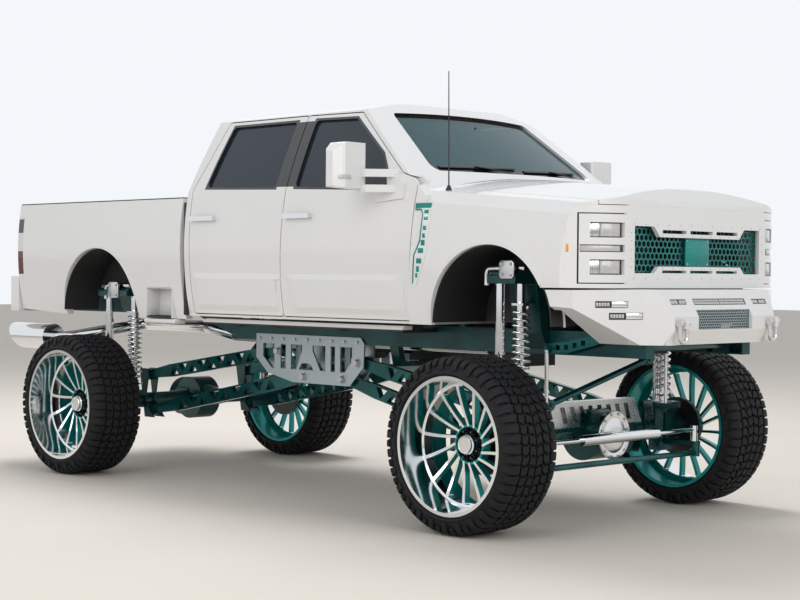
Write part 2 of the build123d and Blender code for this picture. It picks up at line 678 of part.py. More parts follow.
def door_inside(clear=0):
    """The space inside the side walls, carried down past the floor."""
    low = block((CAB_BACK_X - 90, CAB_FRONT_X + 90), (-FLOOR_HALF_WIDTH, FLOOR_HALF_WIDTH),
                (SILL_Z - 50, SILL_Z + WALL + 5))
    return fuse([section_prism(WALL - clear), low])


def door_prisms(points, y0, y1, grow):
    """A door's outline carried through the left wall and through the right one."""
    return [side_prism(points, low, high, radius=18, grow=grow) for low, high in ((y0, y1), (-y1, -y0))]


def door_stops():
    """The flanges round the openings, with the pillar between them, that closed doors rest on."""
    doors = (FRONT_DOOR, REAR_DOOR)
    skin = section_prism(WALL) - section_prism(WALL + DOOR_STOP)
    rims = zip(*[door_prisms(points, DOOR_INNER_Y - 20, 1100, PANEL_GAP + 12) for points in doors])
    bands = [skin & fuse(list(pair)) for pair in rims]
    for points in doors:
        ways = door_prisms(points, DOOR_INNER_Y - 30, 1110, -DOOR_STEP - 12)
        bands = [band - way for band, way in zip(bands, ways)]
    return bands


def make_door(points, window, handle_x):
    """Left door: an outer skin with a lip all round, a narrower inner part, and its handle."""
    skin = section_prism(0) - section_prism(DOOR_LIP)
    skin &= side_prism(points, DOOR_INNER_Y, 1100, radius=18)
    core = section_prism(DOOR_LIP) - door_inside(SEAT)
    core &= side_prism(points, DOOR_INNER_Y, 1100, radius=18, grow=-DOOR_STEP)
    door = fuse([skin, core]) - side_prism(window, DOOR_INNER_Y - 20, 1120, radius=30)
    door = max(door.solids(), key=lambda solid: solid.volume)
    x0, x1 = handle_x
    bar = block((x0, x1), (1033, 1050), (HANDLE_Z - 16, HANDLE_Z + 16))
    posts = [
        block((x - 16, x + 16), (1000, 1040), (HANDLE_Z - 13, HANDLE_Z + 13)) for x in (x0 + 20, x1 - 20)
    ]
    return fuse([door, bar] + posts)


def make_door_glass(window):
    pane = section_prism(GLASS_DEPTH) - section_prism(GLASS_DEPTH + GLASS)
    pane &= side_prism(window, DOOR_INNER_Y, 1120, radius=30, grow=-SEAT)
    return max(pane.solids(), key=lambda solid: solid.volume)


SCREEN_OPENING = [(-775, 2172), (775, 2172), (640, 2572, 14), (-640, 2572)]
BACK_OPENING = [(-640, 2130), (640, 2130), (600, 2500), (-600, 2500)]


def make_cab_shell():
    shell = cab_body(0) - cab_body(WALL)
    across = (-FLOOR_HALF_WIDTH, FLOOR_HALF_WIDTH)
    floor = block((CAB_BACK_X - 90, CAB_FRONT_X + 90), across, (1000, SILL_Z + WALL))
    for points in (FRONT_DOOR, REAR_DOOR):
        for way in door_prisms(points, DOOR_INNER_Y, 1100, PANEL_GAP):
            shell -= way - floor
    shell = fuse([shell] + door_stops())
    shell -= end_prism(SCREEN_OPENING, -1500, -300, radius=40)
    shell -= end_prism(BACK_OPENING, CAB_BACK_X - 50, CAB_BACK_X + 250, radius=40)
    pocket = front_panel(fender_region(SEAT), FENDER_SKIN + SEAT)
    shell -= pocket
    shell -= flipped(pocket)
    return max(shell.solids(), key=lambda solid: solid.volume)


def make_cab_glass():
    screen = screen_cutter(GLASS_DEPTH + GLASS) - screen_cutter(GLASS_DEPTH)
    screen &= end_prism(SCREEN_OPENING, -1500, -300, radius=40, grow=-SEAT)
    back = side_prism(CAB_PROFILE, -1200, 1200, grow=-GLASS_DEPTH)
    back -= side_prism(CAB_PROFILE, -1300, 1300, grow=-GLASS_DEPTH - GLASS)
    back &= end_prism(BACK_OPENING, CAB_BACK_X - 50, CAB_BACK_X + 250, radius=40, grow=-SEAT)
    return [max(pane.solids(), key=lambda solid: solid.volume) for pane in (screen, back)]


# Front end: fenders, hood, lamps and grille are cut from one body and its inner face
FRONT_BACK_X = -640
FRONT_SECTION_X = -700
FRONT_SECTION = [
    (BODY_SILL_HALF_WIDTH, 1100, SIDE_BOW), (988, 1985), (945, 2056, 112), (-945, 2056),
    (-988, 1985, SIDE_BOW),
    (-BODY_SILL_HALF_WIDTH, 1100),
]
FRONT_SLOPE = 0.085
FRONT_PROFILE = [
    (FRONT_BACK_X, 1180), (545, 1180), (545, 1450), (880, 1450), (880, 1885), (852, 1958), (790, 2035),
    (640, 2110), (0, 2400), (FRONT_BACK_X, 2400),
]
FRONT_PLAN = [
    (FRONT_BACK_X - 20, -1060), (543, -1060, 88), (850, -600, 16), (850, 600, 88), (543, 1060),
    (FRONT_BACK_X - 20, 1060),
]
LAMP_BACK_X = 652
LAMP_INNER_Y = 680
LAMP_BOTTOM_Z = 1452
LAMP_TOP_Z = 1922
HOOD_BACK_X = -436
HOOD_BACK_SWEEP = 100
HOOD_SEAM = [(HOOD_BACK_X, 800), (-316, 850), (680, 862), (960, 862)]
HOOD_FRONT_Z = 1926
FENDER_OUTLINE = [
    (-608, SILL_Z), (-533, 2085), (-545, 2300), (960, 2300), (960, LAMP_TOP_Z + SEAT),
    (LAMP_BACK_X - SEAT, LAMP_TOP_Z + SEAT),
    (LAMP_BACK_X - SEAT, LAMP_BOTTOM_Z), (470, LAMP_BOTTOM_Z), (FRONT_ARCH_X, SILL_Z),
]


def front_body(inset):
    body = sloped_prism(FRONT_SECTION, FRONT_SECTION_X, 300, 1700, FRONT_SLOPE, grow=-inset)
    body &= side_prism(FRONT_PROFILE, -1200, 1200, grow=-inset)
    return body & plan_prism(FRONT_PLAN, 1000, 2600, grow=-inset)


def front_panel(region, depth, proud=0):
    """The piece of the front end's skin that lies in a region, down to a depth."""
    panel = (front_body(proud) & region) - front_body(depth)
    return max(panel.solids(), key=lambda solid: solid.volume)


def seam_line(gap):
    """The hood's left edge in plan, from the windscreen to the nose, moved outwards by a gap."""
    return [(x, y + gap) for x, y in HOOD_SEAM]


def fender_region(grow=0):
    """The left fender's space: outboard of the hood's seam and inside its own side outline."""
    seam = seam_line(PANEL_GAP / 2)
    half = [(-800, seam[0][1])] + seam + [(1000, seam[-1][1]), (1000, 1200), (-800, 1200)]
    upper = plan_prism(half, 1900, 2600)
    lower = block((-800, LAMP_BACK_X + 10), (880, 1200), (1000, 1910))
    return fuse([upper, lower]) & side_prism(FENDER_OUTLINE, 0, 1200, grow=grow)


def arch(x, radius, y0, y1):
    return rod((x, y0, ARCH_Z), (x, y1, ARCH_Z), radius)


def make_fender():
    region = fender_region() - arch(FRONT_ARCH_X, ARCH_RADIUS, 500, 1200)
    return front_panel(region, FENDER_SKIN)


def make_hood():
    left = seam_line(-PANEL_GAP / 2)
    right = [(x, -y) for x, y in left]
    back = (left[0][0], left[0][1], -HOOD_BACK_SWEEP)
    return front_panel(plan_prism(right + left[:0:-1] + [back], HOOD_FRONT_Z, 2600), FENDER_SKIN)


def make_cowl():
    y = HOOD_SEAM[0][1] - PANEL_GAP
    x = HOOD_BACK_X - PANEL_GAP
    front_x = CAB_FRONT_X + SEAT
    crescent = plan_prism([(x, y, -HOOD_BACK_SWEEP), (x, -y), (front_x, -y), (front_x, y)], 1900, 2600)
    return front_panel(crescent, 34, proud=4)


LAMP_POCKETS = [
    # y low, y high, z low, z high, depth
    (702, 903, 1738, 1824, 24),
    (702, 903, 1528, 1614, 24),
    (702, 947, 1656, 1698, 14),
]
LAMP_GROOVE = (690, 958, 1476, 1878)
LAMP_GROOVE_WIDTH = 7


def make_headlamp():
    """A solid lens body with two lamp pockets, a bar between them and a groove round all three."""
    whole = front_body(0)
    lamp = whole & block((LAMP_BACK_X, 900), (LAMP_INNER_Y, 1100), (LAMP_BOTTOM_Z, LAMP_TOP_Z))
    for y0, y1, z0, z1, depth in LAMP_POCKETS:
        lamp -= block((LAMP_BACK_X - 10, 900), (y0, y1), (z0, z1)) & (whole - front_body(depth))
    y0, y1, z0, z1 = LAMP_GROOVE
    width = LAMP_GROOVE_WIDTH
    band = block((LAMP_BACK_X - 10, 900), (y0, y1), (z0, z1))
    band -= block((LAMP_BACK_X - 20, 910), (y0 - 10, y1 - width), (z0 + width, z1 - width))
    lamp -= band & (whole - front_body(width))
    return max(lamp.solids(), key=lambda solid: solid.volume)


GRILLE_HALF_WIDTH = 655
GRILLE_BACK_X = 760
GRILLE_TOP_Z = 1845
GRILLE_BOTTOM_Z = 1500
GRILLE_LIP_X = 830
GRILLE_OPENING = [
    (-622, 1538), (-450, 1538), (-408, 1578), (408, 1578), (450, 1538), (622, 1538), (622, 1808), (450, 1808),
    (395, 1748), (-395, 1748), (-450, 1808), (-622, 1808),
]
GRILLE_SLOTS = [
    # y low, y high, z low, z high
    (-375, -150, 1770, 1790),
    (-112, 112, 1770, 1790),
    (150, 375, 1770, 1790),
    (-375, -150, 1540, 1556),
    (-112, 112, 1540, 1556),
    (150, 375, 1540, 1556),
]


def make_grille_frame():
    width, y = LAMP_INNER_Y - SEAT, GRILLE_HALF_WIDTH - 20
    body = front_body(0) & block((GRILLE_BACK_X, 960), (-width, width), (LAMP_BOTTOM_Z, HOOD_FRONT_Z - SEAT))
    body -= block((600, GRILLE_LIP_X), (-y, y), (GRILLE_BOTTOM_Z, GRILLE_TOP_Z))
    body -= end_prism(GRILLE_OPENING, GRILLE_LIP_X - 5, 960)
    for y0, y1, z0, z1 in GRILLE_SLOTS:
        body -= block((GRILLE_LIP_X - 5, 960), (y0, y1), (z0, z1))
    return body


MESH_X = 800


def make_grille_mesh():
    y, low, high = GRILLE_HALF_WIDTH - 20 - SEAT, GRILLE_BOTTOM_Z + SEAT, GRILLE_TOP_Z - SEAT
    return block((MESH_X, MESH_X + 14), (-y, y), (low, high))


def make_radiator():
    return block((600, 680), (-470, 470), (RAIL_TOP_Z + SEAT, 1840))


def make_liner(x, y0, y1, floor_z, wall_z):
    """A half tube over the wheel with a wall on its inner side, from a height up."""
    shell = arch(x, ARCH_RADIUS - SEAT, y0, y1) - arch(x, ARCH_RADIUS - LINER, y0 + LINER, y1 + 10)
    shell -= arch(x, ARCH_RADIUS - LINER, y0 - 10, y1) & block((x - 600, x + 600), (0, 1100), (0, wall_z))
    return shell & block((x - 600, x + 600), (0, 1100), (floor_z, 2000))


# Front bumper: a wide plough with swept wings, closed in front and on top
BUMPER_PLAN = [
    (505, -1012), (700, -990), (905, -600), (1045, -500), (1045, 500), (905, 600), (700, 990), (505, 1012),
]
BUMPER_END = [
    (-1016, 1352), (-620, 1128), (620, 1128), (1016, 1352), (1016, 1440), (560, 1447), (-560, 1447),
    (-1016, 1440),
]
BUMPER_SIDE = [(400, 1120), (985, 1120), (1045, 1210), (1045, 1290), (960, 1446), (400, 1448)]
BUMPER_WALL = 40
LAMP_SLOTS = [
    # y low, y high, z low, z high
    (685, 867, 1340, 1379),
    (602, 792, 1273, 1313),
]
BAR_SLOTS = [
    # y low, y high, z low, z high of the shallow lamps in the sloped middle
    (-262, 262, 1357, 1393),
    (330, 480, 1360, 1390),
    (-480, -330, 1360, 1390),
]
BAR_DEPTH = 26


def bumper_body(inset):
    body = plan_prism(BUMPER_PLAN, 1000, 1500, grow=-inset)
    body &= end_prism(BUMPER_END, 300, 1200, grow=-inset)
    return body & side_prism(BUMPER_SIDE, -1200, 1200, grow=-inset)


def make_front_bumper():
    shell = bumper_body(0) - bumper_body(BUMPER_WALL)
    shell -= block((400, 600), (-970, 970), (1000, 1410))
    shell -= block((400, RAIL_FRONT_X + SEAT), (-600, 600), (1000, 1500))
    shell -= arch(FRONT_ARCH_X, ARCH_RADIUS + 22, -1200, 1200)
    shell -= block((850, 1200), (-270, 270), (1215, 1330))
    for y0, y1, z0, z1 in LAMP_SLOTS:
        for low, high in ((y0, y1), (-y1, -y0)):
            shell -= block((700, 1200), (low, high), (z0, z1))
    for y0, y1, z0, z1 in BAR_SLOTS:
        shell -= (bumper_body(0) - bumper_body(BAR_DEPTH)) & block((850, 1200), (y0, y1), (z0, z1))
    brackets = both(block((RAIL_FRONT_X + SEAT, 1020), (RAIL_INNER_Y, RAIL_OUTER_Y), (1128, 1185)))
    tabs = both(block((1000, 1100), (438, 462), (1225, 1285)))
    shell = fuse([shell] + brackets + tabs)
    for y in (-450, 450):
        shell -= rod((1070, y - 30, 1255), (1070, y + 30, 1255), 12.3)
    return max(shell.solids(), key=lambda solid: solid.volume)


def make_bumper_lamps():
    lamps = []
    for y0, y1, z0, z1 in LAMP_SLOTS:
        slot = block((700, 1200), (y0 + SEAT, y1 - SEAT), (z0 + SEAT, z1 - SEAT))
        lamp = (bumper_body(8) - bumper_body(BUMPER_WALL + 20)) & slot
        lamps += both(lamp)
    for y0, y1, z0, z1 in BAR_SLOTS:
        slot = block((850, 1200), (y0 + SEAT, y1 - SEAT), (z0 + SEAT, z1 - SEAT))
        lamps.append((bumper_body(6) - bumper_body(BAR_DEPTH - SEAT)) & slot)
    window = block((850, 1200), (-270 + SEAT, 270 - SEAT), (1215 + SEAT, 1330 - SEAT))
    vent = (bumper_body(18) - bumper_body(30)) & window
    return lamps, vent


def make_shackle(y):
    pin = rod((1070, y - 40, 1255), (1070, y + 40, 1255), 12)
    legs = [rod((1070, y + side * 31, 1255), (1070, y + side * 31, 1175), 12) for side in (-1, 1)]
    eyes = [rod((1070, y + side * 19, 1255), (1070, y + side * 43, 1255), 22) for side in (-1, 1)]
    bow = Pos(1070, y, 1175) * Rot(0, 90, 0) * Torus(31, 12)
    bow &= block((1000, 1140), (y - 60, y + 60), (1100, 1175))
    return fuse([pin, bow] + legs + eyes)


# Bed: side walls that match the cab's section, a floor over the rails, and arches with tubs
BED_SECTION = [
    (BODY_SILL_HALF_WIDTH, 1190, SIDE_BOW), (BELT_HALF_WIDTH + 2, BED_TOP_Z),
    (-BELT_HALF_WIDTH - 2, BED_TOP_Z, SIDE_BOW),
    (-BODY_SILL_HALF_WIDTH, 1190),
]
BED_PROFILE = [
    (BED_BACK_X, 1225), (-4380, 1190), (-2905, 1190), (-2905, BED_TOP_Z + 5), (BED_BACK_X, BED_TOP_Z + 5),
]
STEP_OUTLINE = [(-3336, 1150), (-3020, 1150), (-3020, 1414), (-3336, 1414)]
TAIL_LAMP_Z = (1500, 1956)
TAIL_LAMP_X = -4975


def make_cargo_bed():
    outer = end_prism(BED_SECTION, BED_BACK_X, BED_FRONT_X) & side_prism(BED_PROFILE, -1200, 1200)
    low = block((BED_BACK_X - 10, BED_FRONT_X - 30), (-900, 900), (1000, BED_FLOOR_Z - BED_FLOOR))
    low = fuse([low, block((BED_BACK_X - 10, BED_FRONT_X + 10), (-900, 900), (1000, 1260))])
    space = block((BED_BACK_X + BED_POST, BED_FRONT_X - WALL), (-BED_INNER_HALF_WIDTH, BED_INNER_HALF_WIDTH),
                  (BED_FLOOR_Z, 2200))
    for side in (-1, 1):
        y0, y1 = sorted((side * TUB_HALF_WIDTH, side * 1000))
        tub = arch(REAR_ARCH_X, ARCH_RADIUS + 22, y0, y1)
        space -= tub
    gate_gap = TAILGATE_HALF_WIDTH + PANEL_GAP
    way_out = block((BED_BACK_X - 10, BED_BACK_X + BED_POST + 10), (-gate_gap, gate_gap), (BED_FLOOR_Z, 2200))
    bed = outer - low - space - way_out
    for side in (-1, 1):
        y0, y1 = sorted((side * (TUB_HALF_WIDTH + 22), side * 1100))
        bed -= arch(REAR_ARCH_X, ARCH_RADIUS, y0, y1)
        y0, y1 = sorted((side * 850, side * 1100))
        bed -= side_prism(STEP_OUTLINE, y0, y1, radius=20)
        y0, y1 = sorted((side * (TAILGATE_HALF_WIDTH + PANEL_GAP + 40), side * 1100))
        bed -= block((BED_BACK_X - 10, TAIL_LAMP_X), (y0, y1), TAIL_LAMP_Z)
    reach = gate_gap + TAILGATE_PIN
    bed -= rod((TAILGATE_HINGE_X, -reach, TAILGATE_HINGE_Z), (TAILGATE_HINGE_X, reach, TAILGATE_HINGE_Z),
               TAILGATE_PIN_RADIUS + SEAT)
    sills = []
    for x in (-3400, -3950, -4500, -4900):
        up = (REAR_RAIL_TOP_Z + SEAT, BED_FLOOR_Z - BED_FLOOR)
        sills.append(block((x - 40, x + 40), (-RAIL_OUTER_Y, RAIL_OUTER_Y), up))
    return fuse([max(bed.solids(), key=lambda solid: solid.volume)] + sills)


def make_tail_lamp():
    skin = end_prism(BED_SECTION, BED_BACK_X, BED_FRONT_X, grow=-1)
    space = block((BED_BACK_X, TAIL_LAMP_X - SEAT), (TAILGATE_HALF_WIDTH + PANEL_GAP + 40 + SEAT, 1100),
                  (TAIL_LAMP_Z[0] + SEAT, TAIL_LAMP_Z[1] - SEAT))
    return skin & space


def make_tailgate():
    half = TAILGATE_HALF_WIDTH
    panel = block((BED_BACK_X, BED_BACK_X + TAILGATE), (-half, half), (TAILGATE_BOTTOM_Z, BED_TOP_Z))
    panel -= block((BED_BACK_X - 1, BED_BACK_X + TAILGATE_RECESS), (-half + 90, half - 90), TAILGATE_PANEL_Z)
    panel -= block((BED_BACK_X - 1, BED_BACK_X + HANDLE_RECESS), (-95, 95), HANDLE_RECESS_Z)
    reach = half + TAILGATE_PIN
    pin = rod((TAILGATE_HINGE_X, -reach, TAILGATE_HINGE_Z), (TAILGATE_HINGE_X, reach, TAILGATE_HINGE_Z),
              TAILGATE_PIN_RADIUS)
    return fuse([panel, pin])


REAR_BUMPER_PLAN = [
    (RAIL_BACK_X - SEAT, -1000), (RAIL_BACK_X - SEAT, 1000), (-5200, 985), (-5322, 860), (-5322, -860),
    (-5200, -985),
]
REAR_STEP_Z = 1470
REAR_BUMPER_SIDE = [(-4900, 1205), (-5290, 1205), (-5328, 1250), (-5328, 1440), (-5300, 1482), (-4900, 1482)]


def make_rear_bumper():
    body = plan_prism(REAR_BUMPER_PLAN, 1100, 1600) & side_prism(REAR_BUMPER_SIDE, -1200, 1200)
    for y in (-640, 0, 640):
        body -= block((-5290, -5100), (y - 180, y + 180), (REAR_STEP_Z, 1500))
    return body - block((-5400, -5312), (-160, 160), (1265, 1400))


# Cab inside
def make_seats():
    seats = []
    for y in (-400, 400):
        base = block((-1560, -1040), (y - 250, y + 250), (SILL_Z + WALL + SEAT, 1620))
        back = side_prism([(-1560, 1560), (-1420, 1560), (-1560, 2200), (-1680, 2200)], y - 240, y + 240)
        seats.append(fuse([base, back]))
    base = block((-2560, -2060), (-680, 680), (SILL_Z + WALL + SEAT, 1620))
    back = side_prism([(-2600, 1560), (-2450, 1560), (-2600, 2180), (-2700, 2180)], -680, 680)
    seats.append(fuse([base, back]))
    return seats


def make_dashboard():
    dash = side_prism([(-510.3, 1700), (-510.3, 2060), (-760, 2030), (-830, 1900), (-700, 1700)], -850, 850)
    dash &= cab_body(WALL + SEAT)
    column = rod((-780, 400, 1880), (-960, 400, 1950), 25)
    wheel_plane = Plane(origin=(-960, 400, 1950), z_dir=(-180, 0, 70))
    wheel = wheel_plane * Torus(180, 14)
    spokes = [wheel_plane * Rot(0, 0, angle) * Box(350, 26, 14) for angle in (0, 90)]
    return fuse([dash, column, wheel] + spokes)


MIRROR_PLAN = [(-1000, 1105), (-880, 1100), (-862, 1300), (-925, 1345), (-1000, 1340)]
MIRROR_END = [(1090, 2050), (1350, 2058), (1350, 2272), (1292, 2335), (1090, 2335)]
MIRROR_FOOT = [
    (-895, 1970), (-645, 1990), (-640, 2085), (-700, 2140), (-752, 2178), (-790, 2150), (-782, 2056),
    (-895, 2046),
]
MIRROR_ARM = [(-785, 1000), (-700, 1000), (-830, 1150), (-920, 1150)]
MIRROR_ARMS_Z = [(2028, 2075), (2124, 2172)]


def make_mirror():
    """Left mirror: a tall housing with a clipped outer corner, on two broad arms and a foot on the door."""
    housing = plan_prism(MIRROR_PLAN, 2040, 2345, radius=18) & end_prism(MIRROR_END, -1100, -800, radius=24)
    foot = side_prism(MIRROR_FOOT, 940, 1014) - section_prism(-SEAT)
    foot = max(foot.solids(), key=lambda solid: solid.volume)
    arms = [plan_prism(MIRROR_ARM, low, high) for low, high in MIRROR_ARMS_Z]
    arms = [arm - section_prism(-SEAT) for arm in arms]
    return fuse([housing, foot] + arms)


def make_running_board():
    board = end_prism([(800, 1165), (985, 1165), (985, 1188), (960, 1200), (800, 1200)], -2669, -666)
    brackets = [
        block((x - 25, x + 25), (RAIL_OUTER_Y + SEAT, 820), (1150, 1175)) for x in (-850, -1440, -2090, -2500)
    ]
    return fuse([board] + brackets)


# Powertrain, exhaust and tank
TRANSFER_BACK_X = -1800
TRANSFER_FRONT_X = -1450
FRONT_OUTPUT = (270, 1080)
REAR_OUTPUT_Z = 1060
PINION_REACH = 300
PINION_Z = AXLE_HEIGHT + 20
EXHAUST_Y = -300
EXHAUST_RADIUS = 45
TIP_RADIUS = 102
TIP_Y = -850
TIP_Z = 1003


def make_engine():
    """One plain block with its gearbox and transfer case, on two mounts and the gearbox bridge."""
    body = block((-400, 430), (-260, 260), (1040, 1690))
    gearbox = block((TRANSFER_FRONT_X, -395), (-150, 150), (935 + SEAT, 1205))
    transfer = block((TRANSFER_BACK_X, TRANSFER_FRONT_X), (-190, 330), (980, 1205))
    ears = both(block((-60, 60), (255, RAIL_INNER_Y - SEAT), (1095, 1165)))
    return fuse([body, gearbox, transfer] + ears)


def make_shaft(start, end):
    """A tube between two flanges that face along the truck."""
    (x0, y0, z0), (x1, y1, z1) = start, end
    way = 1 if x1 > x0 else -1
    flange = 34
    inner0 = (x0 + way * (flange - 6), y0, z0)
    inner1 = (x1 - way * (flange - 6), y1, z1)
    caps = [rod((x0 + way * SEAT, y0, z0), (x0 + way * flange, y0, z0), 48),
            rod((x1 - way * SEAT, y1, z1), (x1 - way * flange, y1, z1), 48)]
    return fuse(caps + [rod(inner0, inner1, 36)])


def make_drive_shafts():
    rear = make_shaft((TRANSFER_BACK_X, 0, REAR_OUTPUT_Z), (REAR_AXLE_X + PINION_REACH, DIFF_Y, PINION_Z))
    front = make_shaft((TRANSFER_FRONT_X, *FRONT_OUTPUT), (-PINION_REACH, DIFF_Y, PINION_Z))
    return [rear, front]


def make_exhaust():
    """A pipe under the cross members, over the rear axle and out to a slash-cut tip."""
    z = 1140 - 38 - SEAT - EXHAUST_RADIUS
    path = FilletPolyline((-560, EXHAUST_Y, z), (-3150, EXHAUST_Y, z), (-3500, EXHAUST_Y, 1110),
                          (-4300, EXHAUST_Y, 1110), (-4600, TIP_Y, TIP_Z), (-4800, TIP_Y, TIP_Z), radius=110)
    pipe = sweep(Plane(origin=path @ 0, z_dir=path % 0) * Circle(EXHAUST_RADIUS), path=path)
    muffler = rod((-2720, EXHAUST_Y, z), (-2300, EXHAUST_Y, z), 82)
    tip = rod((-4786, TIP_Y, TIP_Z), (REAR_TIP_X, TIP_Y, TIP_Z), TIP_RADIUS)
    tip -= rod((-4830, TIP_Y, TIP_Z), (REAR_TIP_X - 10, TIP_Y, TIP_Z), TIP_RADIUS - 5)
    slash = side_prism([(REAR_TIP_X, TIP_Z - 200), (REAR_TIP_X, TIP_Z + 95), (REAR_TIP_X + 150, TIP_Z - 110),
                        (REAR_TIP_X + 150, TIP_Z - 200)], TIP_Y - 200, TIP_Y + 200)
    return fuse([pipe, muffler, tip - slash])


def make_fuel_tank():
    y = RAIL_Y - PLATE_GAP - PLATE - SEAT
    return end_prism([(110, 930), (150, 900), (y - 30, 900), (y, 930), (y, 1180), (110, 1180)], -2830, -2260)


def make_all():
    save("frame", make_frame())
    save("hanger_plates", *make_hanger_plates())
    links = [make_link(ends) for ends in LINKS.values()]
    save("suspension_links", *(links + [flipped(link) for link in links] + [make_track_bar()]))
    save("front_axle", make_front_axle())
    save("rear_axle", make_rear_axle())
    dampers = [make_coilover(*place) for place in COILOVERS] + [make_shock(*place) for place in SHOCKS]
    save("dampers", *(dampers + [flipped(damper) for damper in dampers]))
    springs = [make_spring(*place) for place in COILOVERS]
    save("coil_springs", *(springs + [flipped(spring) for spring in springs]))
    save("sway_bar", *make_bars())
    knuckle = make_knuckle()
    save("knuckle_left", knuckle)
    save("knuckle_right", flipped(knuckle))
    save("tie_rod", make_tie_rod())
    save("ram_rod", make_ram_rod())
    save("steering_ram", make_ram())
    tyre, rim, brake = make_tyre(), make_rim(), make_brake_hub()
    for name, place, side in wheel_places():
        for kind, piece in (("tyre", tyre), ("rim", rim), ("brake_hub", brake)):
            save(f"{kind}_{name}", place * (piece if side > 0 else flipped(piece)))
    save("cab_shell", make_cab_shell())
    save("cab_glass", *make_cab_glass())
    save("cowl_panel", make_cowl())
    save("dashboard", make_dashboard())
    save("seats", *make_seats())
    for row, points, window in (("front", FRONT_DOOR, FRONT_WINDOW), ("rear", REAR_DOOR, REAR_WINDOW)):
        door = make_door(points, window, HANDLES[row])
        glass = make_door_glass(window)
        save(f"door_{row}_left", door)
        save(f"door_{row}_right", flipped(door))
        save(f"glass_{row}_left", glass)
        save(f"glass_{row}_right", flipped(glass))
    mirror_left = make_mirror()
    save("mirror_left", mirror_left)
    save("mirror_right", flipped(mirror_left))
    save("hood", make_hood())
    save("fenders", *both(make_fender()))
    save("headlamps", *both(make_headlamp()))
    save("grille_frame", make_grille_frame())
    save("radiator", make_radiator())
    save("engine_block", make_engine())
    save("drive_shafts", *make_drive_shafts())
    save("exhaust", make_exhaust())
    save("fuel_tank", make_fuel_tank())
    liners = [make_liner(FRONT_ARCH_X, 505, 985, 1230, RAIL_TOP_Z),
              make_liner(REAR_ARCH_X, TUB_HALF_WIDTH + 22 + SEAT, 985, 1230, BED_FLOOR_Z - BED_FLOOR)]
    save("wheel_liners", *(liners + [flipped(liner) for liner in liners]))
    save("front_bumper", make_front_bumper())
    lamps, vent = make_bumper_lamps()
    save("bumper_lamps", *lamps)
    save("grille_mesh", make_grille_mesh(), vent)
    save("shackles", make_shackle(450), make_shackle(-450))
    save("cargo_bed", make_cargo_bed())
    save("tail_lamps", *both(make_tail_lamp()))
    save("tailgate", make_tailgate())
    save("rear_bumper", make_rear_bumper())
    save("running_boards", *both(make_running_board()))


make_all()
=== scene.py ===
# %% [markdown]
# # A lifted crew-cab pickup truck
# The truck stands high on solid axles, long milled links and coilovers, and its paint is plain white over
# a teal powder-coated frame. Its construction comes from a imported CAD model, which is loaded first and
# never changed. This lesson gives each CAD node a finish and builds the pieces that a CAD solid only stands
# for: tread, coils, mesh, lamps, trim and seats.
# Lengths are metres, +X is forwards, +Y is the truck's left and the floor is at z = 0.

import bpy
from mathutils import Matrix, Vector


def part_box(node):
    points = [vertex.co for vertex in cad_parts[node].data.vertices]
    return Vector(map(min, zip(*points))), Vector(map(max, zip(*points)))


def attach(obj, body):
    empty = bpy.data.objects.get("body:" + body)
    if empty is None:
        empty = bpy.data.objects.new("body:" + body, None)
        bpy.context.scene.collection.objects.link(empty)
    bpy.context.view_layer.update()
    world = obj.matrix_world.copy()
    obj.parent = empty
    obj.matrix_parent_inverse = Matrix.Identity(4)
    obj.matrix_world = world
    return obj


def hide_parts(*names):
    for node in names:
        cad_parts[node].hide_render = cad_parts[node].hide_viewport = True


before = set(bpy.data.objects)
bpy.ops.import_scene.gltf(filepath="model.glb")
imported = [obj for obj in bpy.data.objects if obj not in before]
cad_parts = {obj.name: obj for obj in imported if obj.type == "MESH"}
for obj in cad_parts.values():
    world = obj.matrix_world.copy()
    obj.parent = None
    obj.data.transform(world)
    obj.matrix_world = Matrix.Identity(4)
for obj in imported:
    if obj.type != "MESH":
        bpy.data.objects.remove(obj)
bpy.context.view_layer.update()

# %% Blender's modules and the places that many pieces share
from math import cos, pi, radians, sin

import bmesh
import bpy
from mathutils import Matrix, Vector
from mathutils.bvhtree import BVHTree

scene = bpy.context.scene
SIDES = {"left": 1, "right": -1}
low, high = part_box("tyre_front_left")
AXLE_X, WHEEL_Y, AXLE_Z = [(low[i] + high[i]) / 2 for i in range(3)]
TYRE_RADIUS, TYRE_HALF = (high[2] - low[2]) / 2, (high[1] - low[1]) / 2
low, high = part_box("tyre_rear_left")
REAR_AXLE_X = (low[0] + high[0]) / 2


def at(x, y, z):
    """A place whose x is measured from the front axle."""
    return Vector((AXLE_X + x, y, z))


print("front axle", round(AXLE_X, 4), "wheel plane", round(WHEEL_Y, 4), "rear axle", round(REAR_AXLE_X, 4))

# %% [markdown]
# ## Camera
# The photo was taken from the right front corner, a little below the belt line, with a long lens. The
# camera's place and turn were solved from points on the wheels and the body, so they are given as numbers.

# %% Camera
EYE = at(6.854, -8.341, 1.52)
YAW, PITCH, ROLL = 0.798, 0.015, 0.008
FOCAL_PIXELS, PICTURE_WIDTH = 1699.934, 800
forward = Vector((-sin(YAW) * cos(PITCH), cos(YAW) * cos(PITCH), -sin(PITCH)))
level = forward.cross(Vector((0, 0, 1))).normalized()
upward = level.cross(forward)
right = cos(ROLL) * level + sin(ROLL) * upward
up = -sin(ROLL) * level + cos(ROLL) * upward
lens = bpy.data.cameras.new("camera")
lens.sensor_width = 36
lens.lens = FOCAL_PIXELS / PICTURE_WIDTH * lens.sensor_width
lens.clip_end = 200
camera = bpy.data.objects.new("camera", lens)
camera.matrix_world = Matrix.Translation(EYE) @ Matrix((right, up, -forward)).transposed().to_4x4()
scene.collection.objects.link(camera)
scene.camera = camera
print("lens", round(lens.lens, 2), "mm")

